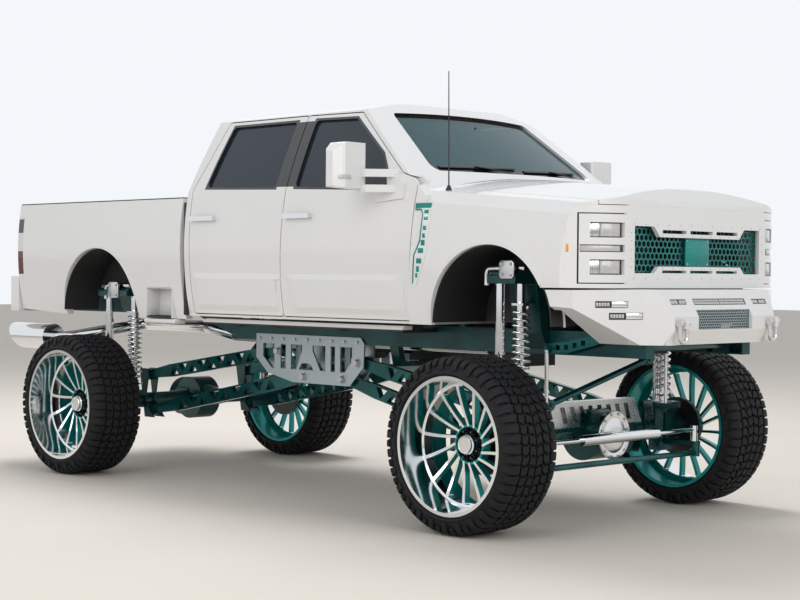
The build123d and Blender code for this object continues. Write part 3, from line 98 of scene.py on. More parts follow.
# %% [markdown]
# ## Shader sums as Python sums
# A material is a sheet of nodes. Wiring them by hand hides what is worked out, so a small class wraps one
# output socket and turns + - * / into Math nodes. Any other node comes from one method, which sets the
# node's own settings first and then its sockets.


# %% A socket that can be used in sums
class Signal:
    """One output socket of a sheet of nodes."""

    def __init__(self, sheet, socket):
        self.sheet, self.socket = sheet, socket

    def math(self, operation, *terms):
        return self.sheet.node("ShaderNodeMath", {"operation": operation}, list(terms))

    def __add__(self, other):
        return self.math("ADD", self, other)

    def __radd__(self, other):
        return self.math("ADD", other, self)

    def __sub__(self, other):
        return self.math("SUBTRACT", self, other)

    def __rsub__(self, other):
        return self.math("SUBTRACT", other, self)

    def __mul__(self, other):
        return self.math("MULTIPLY", self, other)

    def __rmul__(self, other):
        return self.math("MULTIPLY", other, self)

    def __truediv__(self, other):
        return self.math("DIVIDE", self, other)

    def __pow__(self, other):
        return self.math("POWER", self, other)

    def __abs__(self):
        return self.math("ABSOLUTE", self)

    def over(self, limit):
        return self.math("GREATER_THAN", self, limit)

    def under(self, limit):
        return self.math("LESS_THAN", self, limit)

    def between(self, lowest, highest):
        return self.over(lowest) * self.under(highest)

    def most(self, other):
        return self.math("MAXIMUM", self, other)


# %% A sheet of nodes, and a paint with the mixes that every finish uses
class Sheet:
    """The nodes of a material or of the world."""

    def __init__(self, tree):
        self.tree = tree

    def feed(self, socket, value):
        if isinstance(value, Signal):
            self.tree.links.new(value.socket, socket)
        elif socket.type == "RGBA":
            socket.default_value = (*value[:3], 1)
        else:
            socket.default_value = value

    def node(self, kind, settings, inputs, output=0):
        made = self.tree.nodes.new(kind)
        for key, value in settings.items():
            if key == "stops":
                for stop, (where, shade) in zip(made.color_ramp.elements, value):
                    stop.position, stop.color = where, (shade, shade, shade, 1)
            else:
                setattr(made, key, value)
        for key, value in enumerate(inputs) if isinstance(inputs, list) else inputs.items():
            self.feed(made.inputs[key], value)
        return Signal(self, made.outputs[output])


class Paint(Sheet):
    """A material; its shader's sockets are set by name, with _ for each space."""

    def __init__(self, name, **sockets):
        self.material = bpy.data.materials.new(name)
        self.material.use_nodes = True
        super().__init__(self.material.node_tree)
        self.shader = self.tree.nodes["Principled BSDF"]
        self.place = self.node("ShaderNodeTexCoord", {}, {}, "Object")
        self.set(**sockets)

    def set(self, **sockets):
        for socket, value in sockets.items():
            self.feed(self.shader.inputs[socket.replace("_", " ")], value)

    def axes(self):
        """x, y and z on the piece, in metres."""
        return [self.node("ShaderNodeSeparateXYZ", {}, [self.place], axis) for axis in "XYZ"]

    def noise(self, scale, detail=2.0, stretch=(1, 1, 1)):
        place = self.node("ShaderNodeMapping", {}, {"Vector": self.place, "Scale": stretch})
        return self.node("ShaderNodeTexNoise", {}, {"Vector": place, "Scale": scale, "Detail": detail}, "Fac")

    def ramp(self, factor, start, end):
        """0 below start, 1 above end."""
        return self.node("ShaderNodeValToRGB", {"stops": [(start, 0.0), (end, 1.0)]}, [factor])

    def mix(self, factor, first, second):
        return self.node("ShaderNodeMix", {"data_type": "RGBA"}, {0: factor, 6: first, 7: second}, 2)

    def bump(self, height, depth):
        self.set(Normal=self.node("ShaderNodeBump", {}, {"Height": height, "Distance": depth}, "Normal"))


print("shader classes ready")

# %% [markdown]
# ## Finishes
# The white body is a clear-coated paint: slightly uneven in tone, a trace of orange peel, and black rubber
# or gloss black only where a mask on the piece's own places puts it. The frame is teal powder coat, whose
# grain is coarser than paint. The wheels are polished outside and teal inside, so one finish reads the
# distance from the truck's middle.


# %% Masks on a flat outline
def outline_distance(paint, corners, across=0):
    """Distance outside a convex outline given as (along, up) corners, negative inside it."""
    places = paint.axes()
    along, height = places[across], places[2]
    middle = Vector((sum(a for a, _ in corners), sum(b for _, b in corners))) / len(corners)
    nearest = None
    for start, end in zip(corners, corners[1:] + corners[:1]):
        run = (Vector(end) - Vector(start)).normalized()
        out = Vector((run.y, -run.x))
        if out.dot(middle - Vector(start)) > 0:
            out = -out
        side = along * out.x + height * out.y - out.dot(Vector(start))
        nearest = side if nearest is None else nearest.most(side)
    return nearest


def from_axle(points):
    """Outline points in millimetres from the front axle, as metres in the model's frame."""
    return [(AXLE_X + x / 1000, z / 1000) for x, z in points]


FRONT_WINDOW = from_axle([(-1695, 2095), (-800, 2062), (-830, 2150), (-915, 2280), (-1262, 2532),
                          (-1664, 2541)])
REAR_WINDOW = from_axle([(-2650, 2120), (-1900, 2098), (-1856, 2541), (-2530, 2541)])
PILLAR = from_axle([(-1902, 2100), (-1695, 2096), (-1664, 2540), (-1856, 2540)])
print("window outlines", len(FRONT_WINDOW), len(REAR_WINDOW))

# %% White body paint, and dark trim on what looks into the cabin
CARPET, GASKET = (0.018, 0.018, 0.020), (0.012, 0.012, 0.013)
GASKET_WIDTH, HANDLE_Y = 0.016, 1.024
CABIN_HALF, CABIN_BELT_Z, CABIN_BACK_X = 0.935, 2.085, AXLE_X - 2.83
SCREEN_FOOT_X, SCREEN_FOOT_Z = AXLE_X - 0.56, 2.15


def white_paint(name):
    paint = Paint(name, Roughness=0.2, Coat_Weight=0.6)
    paint.colour = paint.mix(paint.noise(1.3, 3.0), (0.76, 0.76, 0.755), (0.81, 0.805, 0.79))
    paint.set(Base_Color=paint.colour)
    paint.bump(paint.noise(420.0, 1.0), 0.00006)
    return paint


def lined(paint):
    """Darkens faces inside a slightly smaller copy of the cab's outline, and returns where they are."""
    x, y, z = paint.axes()
    above = (z - CABIN_BELT_Z).most(0.0)
    screen_x = SCREEN_FOOT_X - (z - SCREEN_FOOT_Z).most(0.0) * 1.38 - y * y * 0.185
    inside = abs(y).under(CABIN_HALF - above * 0.366) * x.over(CABIN_BACK_X + above * 0.28) * x.under(screen_x)
    inside = inside * z.between(1.25, 2.55)
    paint.colour = paint.mix(inside, paint.colour, CARPET)
    paint.set(Base_Color=paint.colour, Coat_Weight=0.6 - inside * 0.6)
    return inside


body_white = white_paint("body_white")
cab_white = white_paint("cab_white")
cab_white.set(Roughness=0.2 + lined(cab_white) * 0.7)
door_white = white_paint("door_white")
trim = lined(door_white)
gasket = outline_distance(door_white, PILLAR).under(0.0)
for window in (FRONT_WINDOW, REAR_WINDOW):
    gasket = gasket.most(outline_distance(door_white, window).under(GASKET_WIDTH))
handle = abs(door_white.axes()[1]).over(HANDLE_Y)
painted = door_white.mix(gasket, door_white.colour, GASKET)
door_white.set(Base_Color=door_white.mix(handle, painted, (0.75, 0.76, 0.77)), Metallic=handle,
               Roughness=0.2 - handle * 0.1 + gasket * 0.1 + trim * 0.6)
print("white paints", body_white.material.name, door_white.material.name)


# %% The bed's sprayed lining, on the bed and on the tailgate's inner face
def sprayed(name, inside):
    """White paint whose inner faces carry a coarse dark lining."""
    paint = white_paint(name)
    lining = inside(*paint.axes())
    speck = paint.noise(160.0, 3.0)
    dark = paint.mix(speck, (0.020, 0.020, 0.021), (0.040, 0.040, 0.041))
    paint.set(Base_Color=paint.mix(lining, paint.colour, dark), Roughness=0.2 + lining * 0.55,
              Coat_Weight=0.6 - lining * 0.6)
    paint.bump(paint.noise(420.0, 1.0) * 0.05 + lining * speck, 0.0012)
    return paint


bed_white = sprayed("bed_white", lambda x, y, z: abs(y).under(0.905) * z.between(1.462, 2.049)
                    * x.between(AXLE_X - 5.02, AXLE_X - 2.93))
gate_white = sprayed("gate_white", lambda x, y, z: x.over(AXLE_X - 4.9935) * z.between(1.50, 2.045))
print("lined paints", bed_white.material.name, gate_white.material.name)


# %% Teal powder coat, with a paler worn tone; some pieces have silver parts
def powder(name, dark, pale, roughness, metallic):
    paint = Paint(name, Metallic=metallic, Coat_Weight=0.2)
    tone = paint.ramp(paint.noise(5.0, 4.0), 0.35, 0.7)
    paint.set(Base_Color=paint.mix(tone, dark, pale), Roughness=roughness + paint.noise(60.0, 2.0) * 0.12)
    paint.bump(paint.noise(900.0, 2.0), 0.00012)
    return paint


def part_silver(name, teal, silver, roughness, metallic, mask):
    """Teal powder coat that is silver where a mask on the piece's places is 1."""
    paint = powder(name, teal, teal, roughness, metallic)
    bright = mask(*paint.axes())
    paint.set(Base_Color=paint.mix(bright, teal, silver), Metallic=metallic + bright * (1 - metallic))
    return paint


def axle_brace(x, y, z):
    """The pierced brace along the top of the axle, without the housing's middle."""
    return abs(x - AXLE_X).under(0.0365) * z.over(0.575) * (1 - abs(y - 0.04).under(0.15) * z.under(0.66))


def drop_links(x, y, z):
    """The sway bar's drop links and their pins."""
    return z.under(1.04).most(abs(x - AXLE_X - 0.17).under(0.016) * abs(y).over(0.575) * z.under(1.075))


frame_teal = powder("frame_teal", (0.002, 0.038, 0.041), (0.004, 0.075, 0.078), 0.26, 0.4)
link_teal = powder("link_teal", (0.003, 0.065, 0.068), (0.008, 0.125, 0.128), 0.18, 0.6)
mesh_teal = powder("mesh_teal", (0.004, 0.16, 0.145), (0.01, 0.22, 0.20), 0.3, 0.4)
bright_teal = powder("bright_teal", (0.004, 0.21, 0.19), (0.01, 0.27, 0.245), 0.22, 0.35)
axle_teal = part_silver("axle_teal", (0.003, 0.06, 0.063), (0.56, 0.58, 0.58), 0.22, 0.55, axle_brace)
sway_teal = part_silver("sway_teal", (0.006, 0.11, 0.11), (0.70, 0.70, 0.70), 0.18, 0.6, drop_links)
print("teal finishes ready")


# %% Metals
def metal(name, colour, roughness, grain=0.0, stretch=(1, 1, 1)):
    paint = Paint(name, Base_Color=colour, Metallic=1.0)
    paint.set(Roughness=roughness + paint.noise(14.0, 4.0) * 0.10)
    if grain:
        paint.bump(paint.noise(700.0, 2.0, stretch), grain)
    return paint


POLISHED = (0.80, 0.81, 0.82)
chrome = metal("chrome", (0.78, 0.79, 0.80), 0.04)
steel = metal("steel", (0.52, 0.53, 0.54), 0.22, 0.00008, (1, 0.08, 1))
plate_silver = metal("plate_silver", (0.42, 0.48, 0.50), 0.34, 0.0001)
bright_silver = metal("bright_silver", (0.66, 0.68, 0.69), 0.28, 0.0001)
dark_metal = metal("dark_metal", (0.05, 0.052, 0.055), 0.38, 0.0002)
machined = metal("machined", (0.74, 0.74, 0.73), 0.16, 0.00006, (1, 0.05, 1))
mirror_glass = metal("mirror_glass", (0.62, 0.66, 0.70), 0.03)

wheel_finish = metal("wheel_finish", POLISHED, 0.07)
x, y, z = wheel_finish.axes()
along = x - (x.over(0.0) * (AXLE_X - REAR_AXLE_X) + REAR_AXLE_X)
radius = (along * along + (z - AXLE_Z) * (z - AXLE_Z)) ** 0.5
SPOKE_FACE_Y, RING_RADIUS, WELL_RADIUS = 1.086, 0.352, 0.103
bright = abs(y).over(SPOKE_FACE_Y - 0.003).most(radius.over(RING_RADIUS - 0.002) * abs(y).over(1.030))
well = radius.under(WELL_RADIUS) * abs(y).under(1.075)
colour = wheel_finish.mix(bright, (0.0, 0.27, 0.26), POLISHED)
wheel_finish.set(Base_Color=wheel_finish.mix(well, colour, (0.02, 0.022, 0.024)), Metallic=0.5 + bright * 0.5,
                 Roughness=0.26 - bright * 0.19 + wheel_finish.noise(9.0, 3.0) * 0.05)
print("metals ready")

# %% Rubber, plastic and leather
DEEP_BLACK = (0.008, 0.008, 0.009)
rubber = Paint("rubber", Specular_IOR_Level=0.3)
dust = rubber.ramp(rubber.noise(7.0, 5.0), 0.45, 0.8)
rubber.set(Base_Color=rubber.mix(dust * 0.5, (0.007, 0.0075, 0.009), (0.020, 0.0195, 0.019)),
           Roughness=0.7 + dust * 0.15)
rubber.bump(rubber.noise(380.0, 3.0), 0.00035)

black_plastic = Paint("black_plastic", Base_Color=(0.016, 0.016, 0.017))
black_plastic.set(Roughness=0.45 + black_plastic.noise(30.0, 3.0) * 0.25)
black_plastic.bump(black_plastic.noise(800.0, 2.0), 0.0002)

gloss_black = Paint("gloss_black", Base_Color=DEEP_BLACK, Coat_Weight=0.6)
gloss_black.set(Roughness=0.06 + gloss_black.noise(20.0, 2.0) * 0.06)

leather = Paint("leather", Roughness=0.5)
leather.set(Base_Color=leather.mix(leather.noise(12.0, 3.0), (0.028, 0.028, 0.031), (0.05, 0.05, 0.053)))
leather.bump(leather.noise(650.0, 4.0), 0.0005)

# The pale warm band along the top outer edge of each running board is a painted reflection, and that band is
# also less rough.
BOARD, BOARD_REFLECTION, BOARD_REFLECTION_Z = (0.014, 0.014, 0.015), (0.62, 0.60, 0.56), 1.176
board_black = Paint("board_black")
x, y, z = board_black.axes()
reflection_band = z.over(BOARD_REFLECTION_Z) * abs(y).over(0.90)
board_black.set(Base_Color=board_black.mix(reflection_band, BOARD, BOARD_REFLECTION), Roughness=0.5 - reflection_band * 0.2)
board_black.bump(board_black.noise(500.0, 2.0), 0.0002)
print("materials so far", len(bpy.data.materials))


# %% Glass: the screen has a teal tint and a black border, the other panes are smoked
def glass(name, colour, alpha):
    paint = Paint(name, Base_Color=colour, Alpha=alpha)
    paint.set(Roughness=0.02 + paint.noise(6.0, 2.0) * 0.02)
    paint.material.surface_render_method = "BLENDED"
    return paint


SMOKED, TINTED = (0.012, 0.024, 0.038), (0.02, 0.10, 0.12)
SCREEN_OPENING = [(-0.775, 2.172), (0.775, 2.172), (0.640, 2.572), (-0.640, 2.572)]
dark_glass = glass("dark_glass", SMOKED, 0.93)
screen_glass = glass("screen_glass", TINTED, 0.66)
front_screen = screen_glass.axes()[0].over(AXLE_X - 2.0)
border = outline_distance(screen_glass, SCREEN_OPENING, across=1).over(-0.028) * front_screen
tint = screen_glass.mix(front_screen, SMOKED, TINTED)
screen_glass.set(Base_Color=screen_glass.mix(border, tint, DEEP_BLACK),
                 Alpha=0.93 - front_screen * 0.27 + border * 0.34)
print("glass ready")

# %% Lamp faces: the tail lamp is smoked above, white between and dark red below
lamp_clear = Paint("lamp_clear", Roughness=0.12, Coat_Weight=0.8)
lamp_clear.set(Base_Color=lamp_clear.mix(lamp_clear.noise(35.0, 2.0), (0.42, 0.42, 0.41), (0.62, 0.61, 0.58)))
lamp_clear.bump(lamp_clear.noise(160.0, 1.0), 0.0003)
amber = Paint("amber", Base_Color=(0.9, 0.30, 0.02), Coat_Weight=0.5)
amber.set(Roughness=0.12 + amber.noise(90.0, 1.0) * 0.1)

tail_red = Paint("tail_red", Roughness=0.1, Coat_Weight=0.6)
low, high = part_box("tail_lamps")
height = tail_red.axes()[2]
share = (height - low[2]) / (high[2] - low[2])
lower = tail_red.mix(share.over(0.40), (0.11, 0.004, 0.006), (0.72, 0.71, 0.69))
tail_red.set(Base_Color=tail_red.mix(share.between(0.72, 0.96), lower, (0.030, 0.024, 0.024)))
tail_red.bump(height.math("SINE", height * 420.0), 0.0003)

# across and up, on either side
POCKETS = [((0.7022, 0.9028), (1.7382, 1.8238)), ((0.7022, 0.9028), (1.5282, 1.6138)),
           ((0.7022, 0.9468), (1.6562, 1.6978))]
lamp_white = white_paint("lamp_white")
x, y, z = lamp_white.axes()
side = abs(y)
rim = side.between(0.690, 0.958) * z.between(1.476, 1.878)
rim = rim * (1 - side.between(0.697, 0.951) * z.between(1.483, 1.871))
black = rim * side.over(0.700)
for across, upwards in POCKETS:
    black = black.most(side.between(*across) * z.between(*upwards))
lamp_white.set(Base_Color=lamp_white.mix(black, lamp_white.colour, (0.02, 0.021, 0.023)))
print("lamp finishes ready")

# %% [markdown]
# ## Finishes for the CAD nodes
# A CAD node whose shape is right keeps it and only gets a material. One table says which, so that a reader
# sees every choice at once.

# %% Give every CAD node its finish
finishes = {
    "frame": frame_teal, "hanger_plates": plate_silver, "suspension_links": link_teal, "front_axle": axle_teal,
    "rear_axle": frame_teal, "dampers": chrome, "coil_springs": chrome, "sway_bar": sway_teal,
    "steering_ram": chrome, "cab_shell": cab_white, "cab_glass": screen_glass, "cowl_panel": black_plastic,
    "dashboard": black_plastic, "seats": leather, "fenders": body_white, "headlamps": lamp_white,
    "grille_frame": body_white, "grille_mesh": mesh_teal, "radiator": dark_metal, "engine_block": dark_metal,
    "drive_shafts": frame_teal, "exhaust": chrome, "fuel_tank": black_plastic, "wheel_liners": black_plastic,
    "front_bumper": body_white, "bumper_lamps": gloss_black, "shackles": machined, "cargo_bed": bed_white,
    "tail_lamps": tail_red, "rear_bumper": body_white, "running_boards": board_black, "hood": body_white,
    "tailgate": gate_white, "tie_rod": link_teal, "ram_rod": chrome,
}
for side in SIDES:
    finishes[f"knuckle_{side}"] = frame_teal
    finishes[f"mirror_{side}"] = body_white
    for end in ("front", "rear"):
        finishes[f"door_{end}_{side}"] = door_white
        finishes[f"glass_{end}_{side}"] = dark_glass
        finishes[f"tyre_{end}_{side}"] = rubber
        finishes[f"rim_{end}_{side}"] = wheel_finish
        finishes[f"brake_hub_{end}_{side}"] = dark_metal
for node, paint in finishes.items():
    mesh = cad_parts[node].data
    mesh.materials.clear()
    mesh.materials.append(paint.material)
print("finished nodes", len(finishes), "left over", sorted(set(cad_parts) - set(finishes)))

# %% [markdown]
# ## Tools for new pieces
# Every new piece starts as a bmesh: a cube, a circle or an outline that operators extrude, spin and bevel.
# One function then makes it a finished object, shades it smooth up to an angle and lets it ride on its body.

# %% Parts of a shape
VERT, EDGE, FACE = bmesh.types.BMVert, bmesh.types.BMEdge, bmesh.types.BMFace


def only(kind, items):
    return [item for item in items if isinstance(item, kind)]


def everything(shape):
    return shape.verts[:] + shape.edges[:] + shape.faces[:]


def edges_of(verts):
    return list(dict.fromkeys(edge for vert in verts for edge in vert.link_edges))


def faces_of(verts):
    return list(dict.fromkeys(face for vert in verts for face in vert.link_faces))


def since(shape, old):
    """The verts that a shape has gained since the old ones were noted."""
    return [vert for vert in shape.verts if vert not in old]


def mirrored(shape):
    """Adds the same shapes on the other side of the truck."""
    copy = bmesh.ops.duplicate(shape, geom=everything(shape))["geom"]
    bmesh.ops.scale(shape, vec=(1, -1, 1), verts=only(VERT, copy))
    bmesh.ops.reverse_faces(shape, faces=only(FACE, copy))


# %% Making a finished piece
def as_object(name, shape):
    mesh = bpy.data.meshes.new(name)
    shape.to_mesh(mesh)
    shape.free()
    thing = bpy.data.objects.new(name, mesh)
    scene.collection.objects.link(thing)
    return thing


def piece(name, shape, paint, body="chassis", smooth=30, stands_for=(), laid=(), both=False):
    """A shape as an object; laid is the skin, axis and way that it is first dropped onto a panel with."""
    if laid:
        lay_on(shape, *laid)
    if both:
        mirrored(shape)
    thing = as_object(name, shape)
    mesh = thing.data
    mesh.polygons.foreach_set("use_smooth", [True] * len(mesh.polygons))
    mesh.set_sharp_from_angle(angle=radians(smooth))
    mesh.materials.append(paint.material)
    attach(thing, body)
    if stands_for:
        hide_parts(*stands_for)
    print(name, "faces", len(mesh.polygons), "on", body)


# %% Blocks and round bars
FLAT = Matrix.Identity(4)


def rounded(shape, edges, width, segments):
    bmesh.ops.bevel(shape, geom=edges, offset=width, segments=segments, profile=0.5, affect="EDGES",
                    material=-1)


def bar(shape, size, place, bevel, turn=FLAT, segments=2):
    """A block with rounded edges, turned about its middle and put in place."""
    old = set(shape.verts)
    verts = bmesh.ops.create_cube(shape, size=1)["verts"]
    bmesh.ops.scale(shape, vec=size, verts=verts)
    rounded(shape, edges_of(verts), bevel, segments)
    bmesh.ops.transform(shape, matrix=Matrix.Translation(place) @ turn, verts=since(shape, old))


def aimed(start, end):
    """The turn that points +Z from start to end."""
    return (Vector(end) - Vector(start)).to_track_quat("Z", "Y").to_matrix().to_4x4()


def tube(shape, start, end, radius, steps=20, end_radius=None):
    """A round bar between two places."""
    start, end = Vector(start), Vector(end)
    verts = bmesh.ops.create_cone(shape, cap_ends=True, segments=steps, radius1=radius,
                                  radius2=radius if end_radius is None else end_radius,
                                  depth=(end - start).length)["verts"]
    move = Matrix.Translation((start + end) / 2) @ aimed(start, end)
    bmesh.ops.transform(shape, matrix=move, verts=verts)


# %% Turned shapes and flat slabs
AXIS_TURNS = {"Y": FLAT, "Z": Matrix.Rotation(radians(90), 4, "X"), "X": Matrix.Rotation(radians(-90), 4, "Z")}


def turned(shape, profile, place, axis="Y", steps=48):
    """Points (radius, along) spun about an axis: a ring, or a solid when they start on the axis."""
    old = set(shape.verts)
    verts = [shape.verts.new((radius, along, 0)) for radius, along in profile]
    on_axis = profile[0][0] == 0
    edges = [shape.edges.new(pair) for pair in zip(verts, verts[1:] + ([] if on_axis else verts[:1]))]
    bmesh.ops.spin(shape, geom=verts + edges, cent=(0, 0, 0), axis=(0, 1, 0), angle=2 * pi, steps=steps,
                   use_merge=True)
    bmesh.ops.remove_doubles(shape, verts=since(shape, old), dist=0.00002)
    verts = since(shape, old)
    bmesh.ops.recalc_face_normals(shape, faces=faces_of(verts))
    bmesh.ops.transform(shape, matrix=Matrix.Translation(place) @ AXIS_TURNS[axis], verts=verts)


def slab(shape, corners, depth, move, bevel, segments=2):
    """A flat outline of (x, y) corners given a depth along z, bevelled and moved by a matrix."""
    old = set(shape.verts)
    verts = [shape.verts.new((a, b, 0)) for a, b in corners]
    tops = only(VERT, bmesh.ops.extrude_face_region(shape, geom=[shape.faces.new(verts)])["geom"])
    bmesh.ops.translate(shape, vec=(0, 0, depth), verts=tops)
    bmesh.ops.recalc_face_normals(shape, faces=faces_of(verts + tops))
    rounded(shape, [edge for edge in edges_of(tops) if set(edge.verts) <= set(tops)], bevel, segments)
    bmesh.ops.transform(shape, matrix=move, verts=since(shape, old))


print("shape tools ready")

# %% [markdown]
# ## Tyres
# The tyres are wide and low, with an open block tread. A plain solid of rubber can't show that, so each
# tyre is built again: a carcass spun from its section, and one pitch of blocks that is drawn flat, wrapped
# round the shoulder and repeated about the axle. The blocks are drawn flat because their outlines are easy
# to read that way, and the wrap follows the same section as the carcass.

# %% The tyre's section
TREAD_DEPTH, SUNK, PITCHES = 0.018, 0.001, 27
BEAD_RADIUS, LIP_RADIUS = 0.397, 0.414
# distance across the tread from its middle, place across, radius
SHOULDER = [(0.0, 0.0, TYRE_RADIUS), (0.150, 0.150, TYRE_RADIUS - 0.003), (0.176, 0.175, TYRE_RADIUS - 0.008),
            (0.200, 0.195, TYRE_RADIUS - 0.022), (0.226, 0.207, TYRE_RADIUS - 0.045),
            (0.262, TYRE_HALF - 0.001, TYRE_RADIUS - 0.078)]


def on_tyre(across, height):
    """Place across and radius of a point that lies a height above the base of the tread."""
    way = 1 if across >= 0 else -1
    across = abs(across)
    for (s0, y0, r0), (s1, y1, r1) in zip(SHOULDER, SHOULDER[1:]):
        if across <= s1 or s1 == SHOULDER[-1][0]:
            share = (across - s0) / (s1 - s0)
            run = Vector((y1 - y0, r1 - r0)).normalized()
            sink = TREAD_DEPTH - height
            return way * (y0 + share * (y1 - y0) + run.y * sink), r0 + share * (r1 - r0) - run.x * sink


# %% One pitch of tread blocks, as (along the pitch, across in metres)
BLOCKS = [
    [(0.02, 0.006), (0.36, 0.006), (0.50, 0.028), (0.48, 0.052), (0.10, 0.052), (0.14, 0.030)],
    [(0.52, 0.008), (0.88, 0.004), (0.99, 0.026), (1.02, 0.048), (0.62, 0.056), (0.64, 0.030)],
    [(0.26, 0.066), (0.62, 0.064), (0.50, 0.090), (0.57, 0.114), (0.18, 0.116), (0.10, 0.090)],
    [(0.76, 0.068), (1.10, 0.060), (0.99, 0.088), (1.06, 0.110), (0.70, 0.118), (0.60, 0.092)],
    [(0.26, 0.130), (0.58, 0.128), (0.64, 0.152), (0.58, 0.262), (0.25, 0.262), (0.20, 0.152)],
    [(0.77, 0.130), (1.08, 0.122), (1.13, 0.150), (1.06, 0.226), (0.79, 0.226), (0.71, 0.150)],
]


def tread(shape):
    """All the blocks of one tyre, round the y axis."""
    step = 2 * pi / PITCHES
    for way, shift in ((1, 0.0), (-1, 0.5)):
        for block in BLOCKS:
            corners = [((a + shift) * step * 0.5, b * way) for a, b in block]
            slab(shape, corners, TREAD_DEPTH + SUNK, FLAT, bevel=0.0028, segments=1)
    for cut, _, _ in SHOULDER[1:-1]:
        for way in (1, -1):
            bmesh.ops.bisect_plane(shape, geom=everything(shape), plane_co=(0, cut * way, 0),
                                   plane_no=(0, 1, 0))
    for vert in shape.verts:
        angle = vert.co.x * 2
        across, radius = on_tyre(vert.co.y, vert.co.z - SUNK)
        vert.co = (radius * sin(angle), across, radius * cos(angle))
    bmesh.ops.recalc_face_normals(shape, faces=shape.faces[:])
    one = everything(shape)
    for turn in range(1, PITCHES):
        copy = bmesh.ops.duplicate(shape, geom=one)["geom"]
        bmesh.ops.rotate(shape, cent=(0, 0, 0), matrix=Matrix.Rotation(turn * step, 3, "Y"),
                         verts=only(VERT, copy))


def carcass(shape):
    """The rubber below the tread, from bead to bead."""
    half = [on_tyre(across, 0.0)[::-1] for across, _, _ in SHOULDER[:-1]]
    half += [(TYRE_RADIUS - 0.090, TYRE_HALF - 0.004), (TYRE_RADIUS - 0.096, TYRE_HALF - 0.001),
             (TYRE_RADIUS - 0.101, TYRE_HALF - 0.004), (0.420, TYRE_HALF - 0.012), (LIP_RADIUS, 0.190),
             (BEAD_RADIUS, 0.186)]
    profile = half + [(radius, -along) for radius, along in reversed(half[1:])]
    turned(shape, profile, (0, 0, 0), steps=96)


# %% Build one tyre and place it at every corner
pattern = bmesh.new()
tread(pattern)
carcass(pattern)
tyre_mesh = bpy.data.meshes.new("tyre_pattern")
pattern.to_mesh(tyre_mesh)
pattern.free()
WHEELS = {f"{end}_{side}": (axle_x, way)
          for end, axle_x in (("front", AXLE_X), ("rear", REAR_AXLE_X)) for side, way in SIDES.items()}
for name, (axle_x, way) in WHEELS.items():
    shape = bmesh.new()
    shape.from_mesh(tyre_mesh)
    if way < 0:
        bmesh.ops.rotate(shape, cent=(0, 0, 0), matrix=Matrix.Rotation(pi, 3, "Z"), verts=shape.verts)
    bmesh.ops.translate(shape, vec=(axle_x, way * WHEEL_Y, AXLE_Z), verts=shape.verts)
    piece(f"tyre_tread_{name}", shape, rubber, f"wheel_{name}", stands_for=[f"tyre_{name}"])
bpy.data.meshes.remove(tyre_mesh)

# %% [markdown]
# ## Wheel centres
# The CAD rim has the barrel, the dish and the curved spokes. What is missing is small: a turned cap and
# the ring of black spiked nuts that stands out of the dish.

# %% Spiked nuts and centre caps
WELL_FLOOR_Y, CAP_Y = 1.044, 1.112
NUTS, NUT_CIRCLE, NUT_BASE, NUT_TOP = 8, 0.081, 0.034, 0.058
CAP = [(0.0, 0.0003), (0.053, 0.0003), (0.053, 0.010), (0.049, 0.014), (0.043, 0.012), (0.041, 0.009),
       (0.0, 0.009)]
for name, (axle_x, way) in WHEELS.items():
    shape = bmesh.new()
    for turn in range(NUTS):
        angle = 2 * pi * (turn + 0.5) / NUTS
        x, z = axle_x + NUT_CIRCLE * cos(angle), AXLE_Z + NUT_CIRCLE * sin(angle)
        foot, waist, tip = [(x, way * (WELL_FLOOR_Y + out), z) for out in (0.0003, NUT_BASE, NUT_TOP)]
        tube(shape, foot, waist, 0.0155, 6)
        tube(shape, waist, tip, 0.0125, 12, 0.007)
    piece(f"wheel_nuts_{name}", shape, gloss_black, f"wheel_{name}")
    shape = bmesh.new()
    turned(shape, [(radius, way * out) for radius, out in CAP], (axle_x, way * CAP_Y, AXLE_Z), steps=40)
    piece(f"wheel_cap_{name}", shape, machined, f"wheel_{name}", smooth=25)

# %% [markdown]
# ## Coils
# A coil spring is a round wire carried along a helix. Blender's spin makes one when each step also moves
# along the axis, so the wire's circle is spun many turns with a small rise at every step.

# %% Coil springs over the dampers
WIRE, COIL_RADIUS, COIL_Y, COIL_TURNS, COIL_STEPS = 0.0085, 0.0495, 0.700, 14, 280
shape = bmesh.new()
# from the front axle, lowest, highest
for along, low_z, high_z in ((0.060, 0.762, 1.338), (-3.890, 0.682, 1.208)):
    circle = bmesh.ops.create_circle(shape, segments=10, radius=WIRE)["verts"]
    bmesh.ops.rotate(shape, cent=(0, 0, 0), matrix=Matrix.Rotation(radians(90), 3, "X"), verts=circle)
    bmesh.ops.translate(shape, vec=at(along + COIL_RADIUS, COIL_Y, low_z + WIRE), verts=circle)
    edges = edges_of(circle)
    made = bmesh.ops.spin(shape, geom=circle + edges, cent=at(along, COIL_Y, 0), axis=(0, 0, 1),
                          angle=2 * pi * COIL_TURNS, steps=COIL_STEPS,
                          dvec=(0, 0, (high_z - low_z - 2 * WIRE) / COIL_STEPS))
    for ends in (edges, only(EDGE, made["geom_last"])):
        bmesh.ops.edgeloop_fill(shape, edges=ends)
mirrored(shape)
bmesh.ops.recalc_face_normals(shape, faces=shape.faces)
piece("coils", shape, chrome, smooth=60, stands_for=["coil_springs"])

# %% [markdown]
# ## Grille
# The opening behind the white riveted frame holds a sheet of teal steel cut into hexagons. One cell is a
# ring between two six-sided circles, repeated over rows that are half a cell apart and then given a
# thickness, so that each hole is really open and the radiator shows behind it.


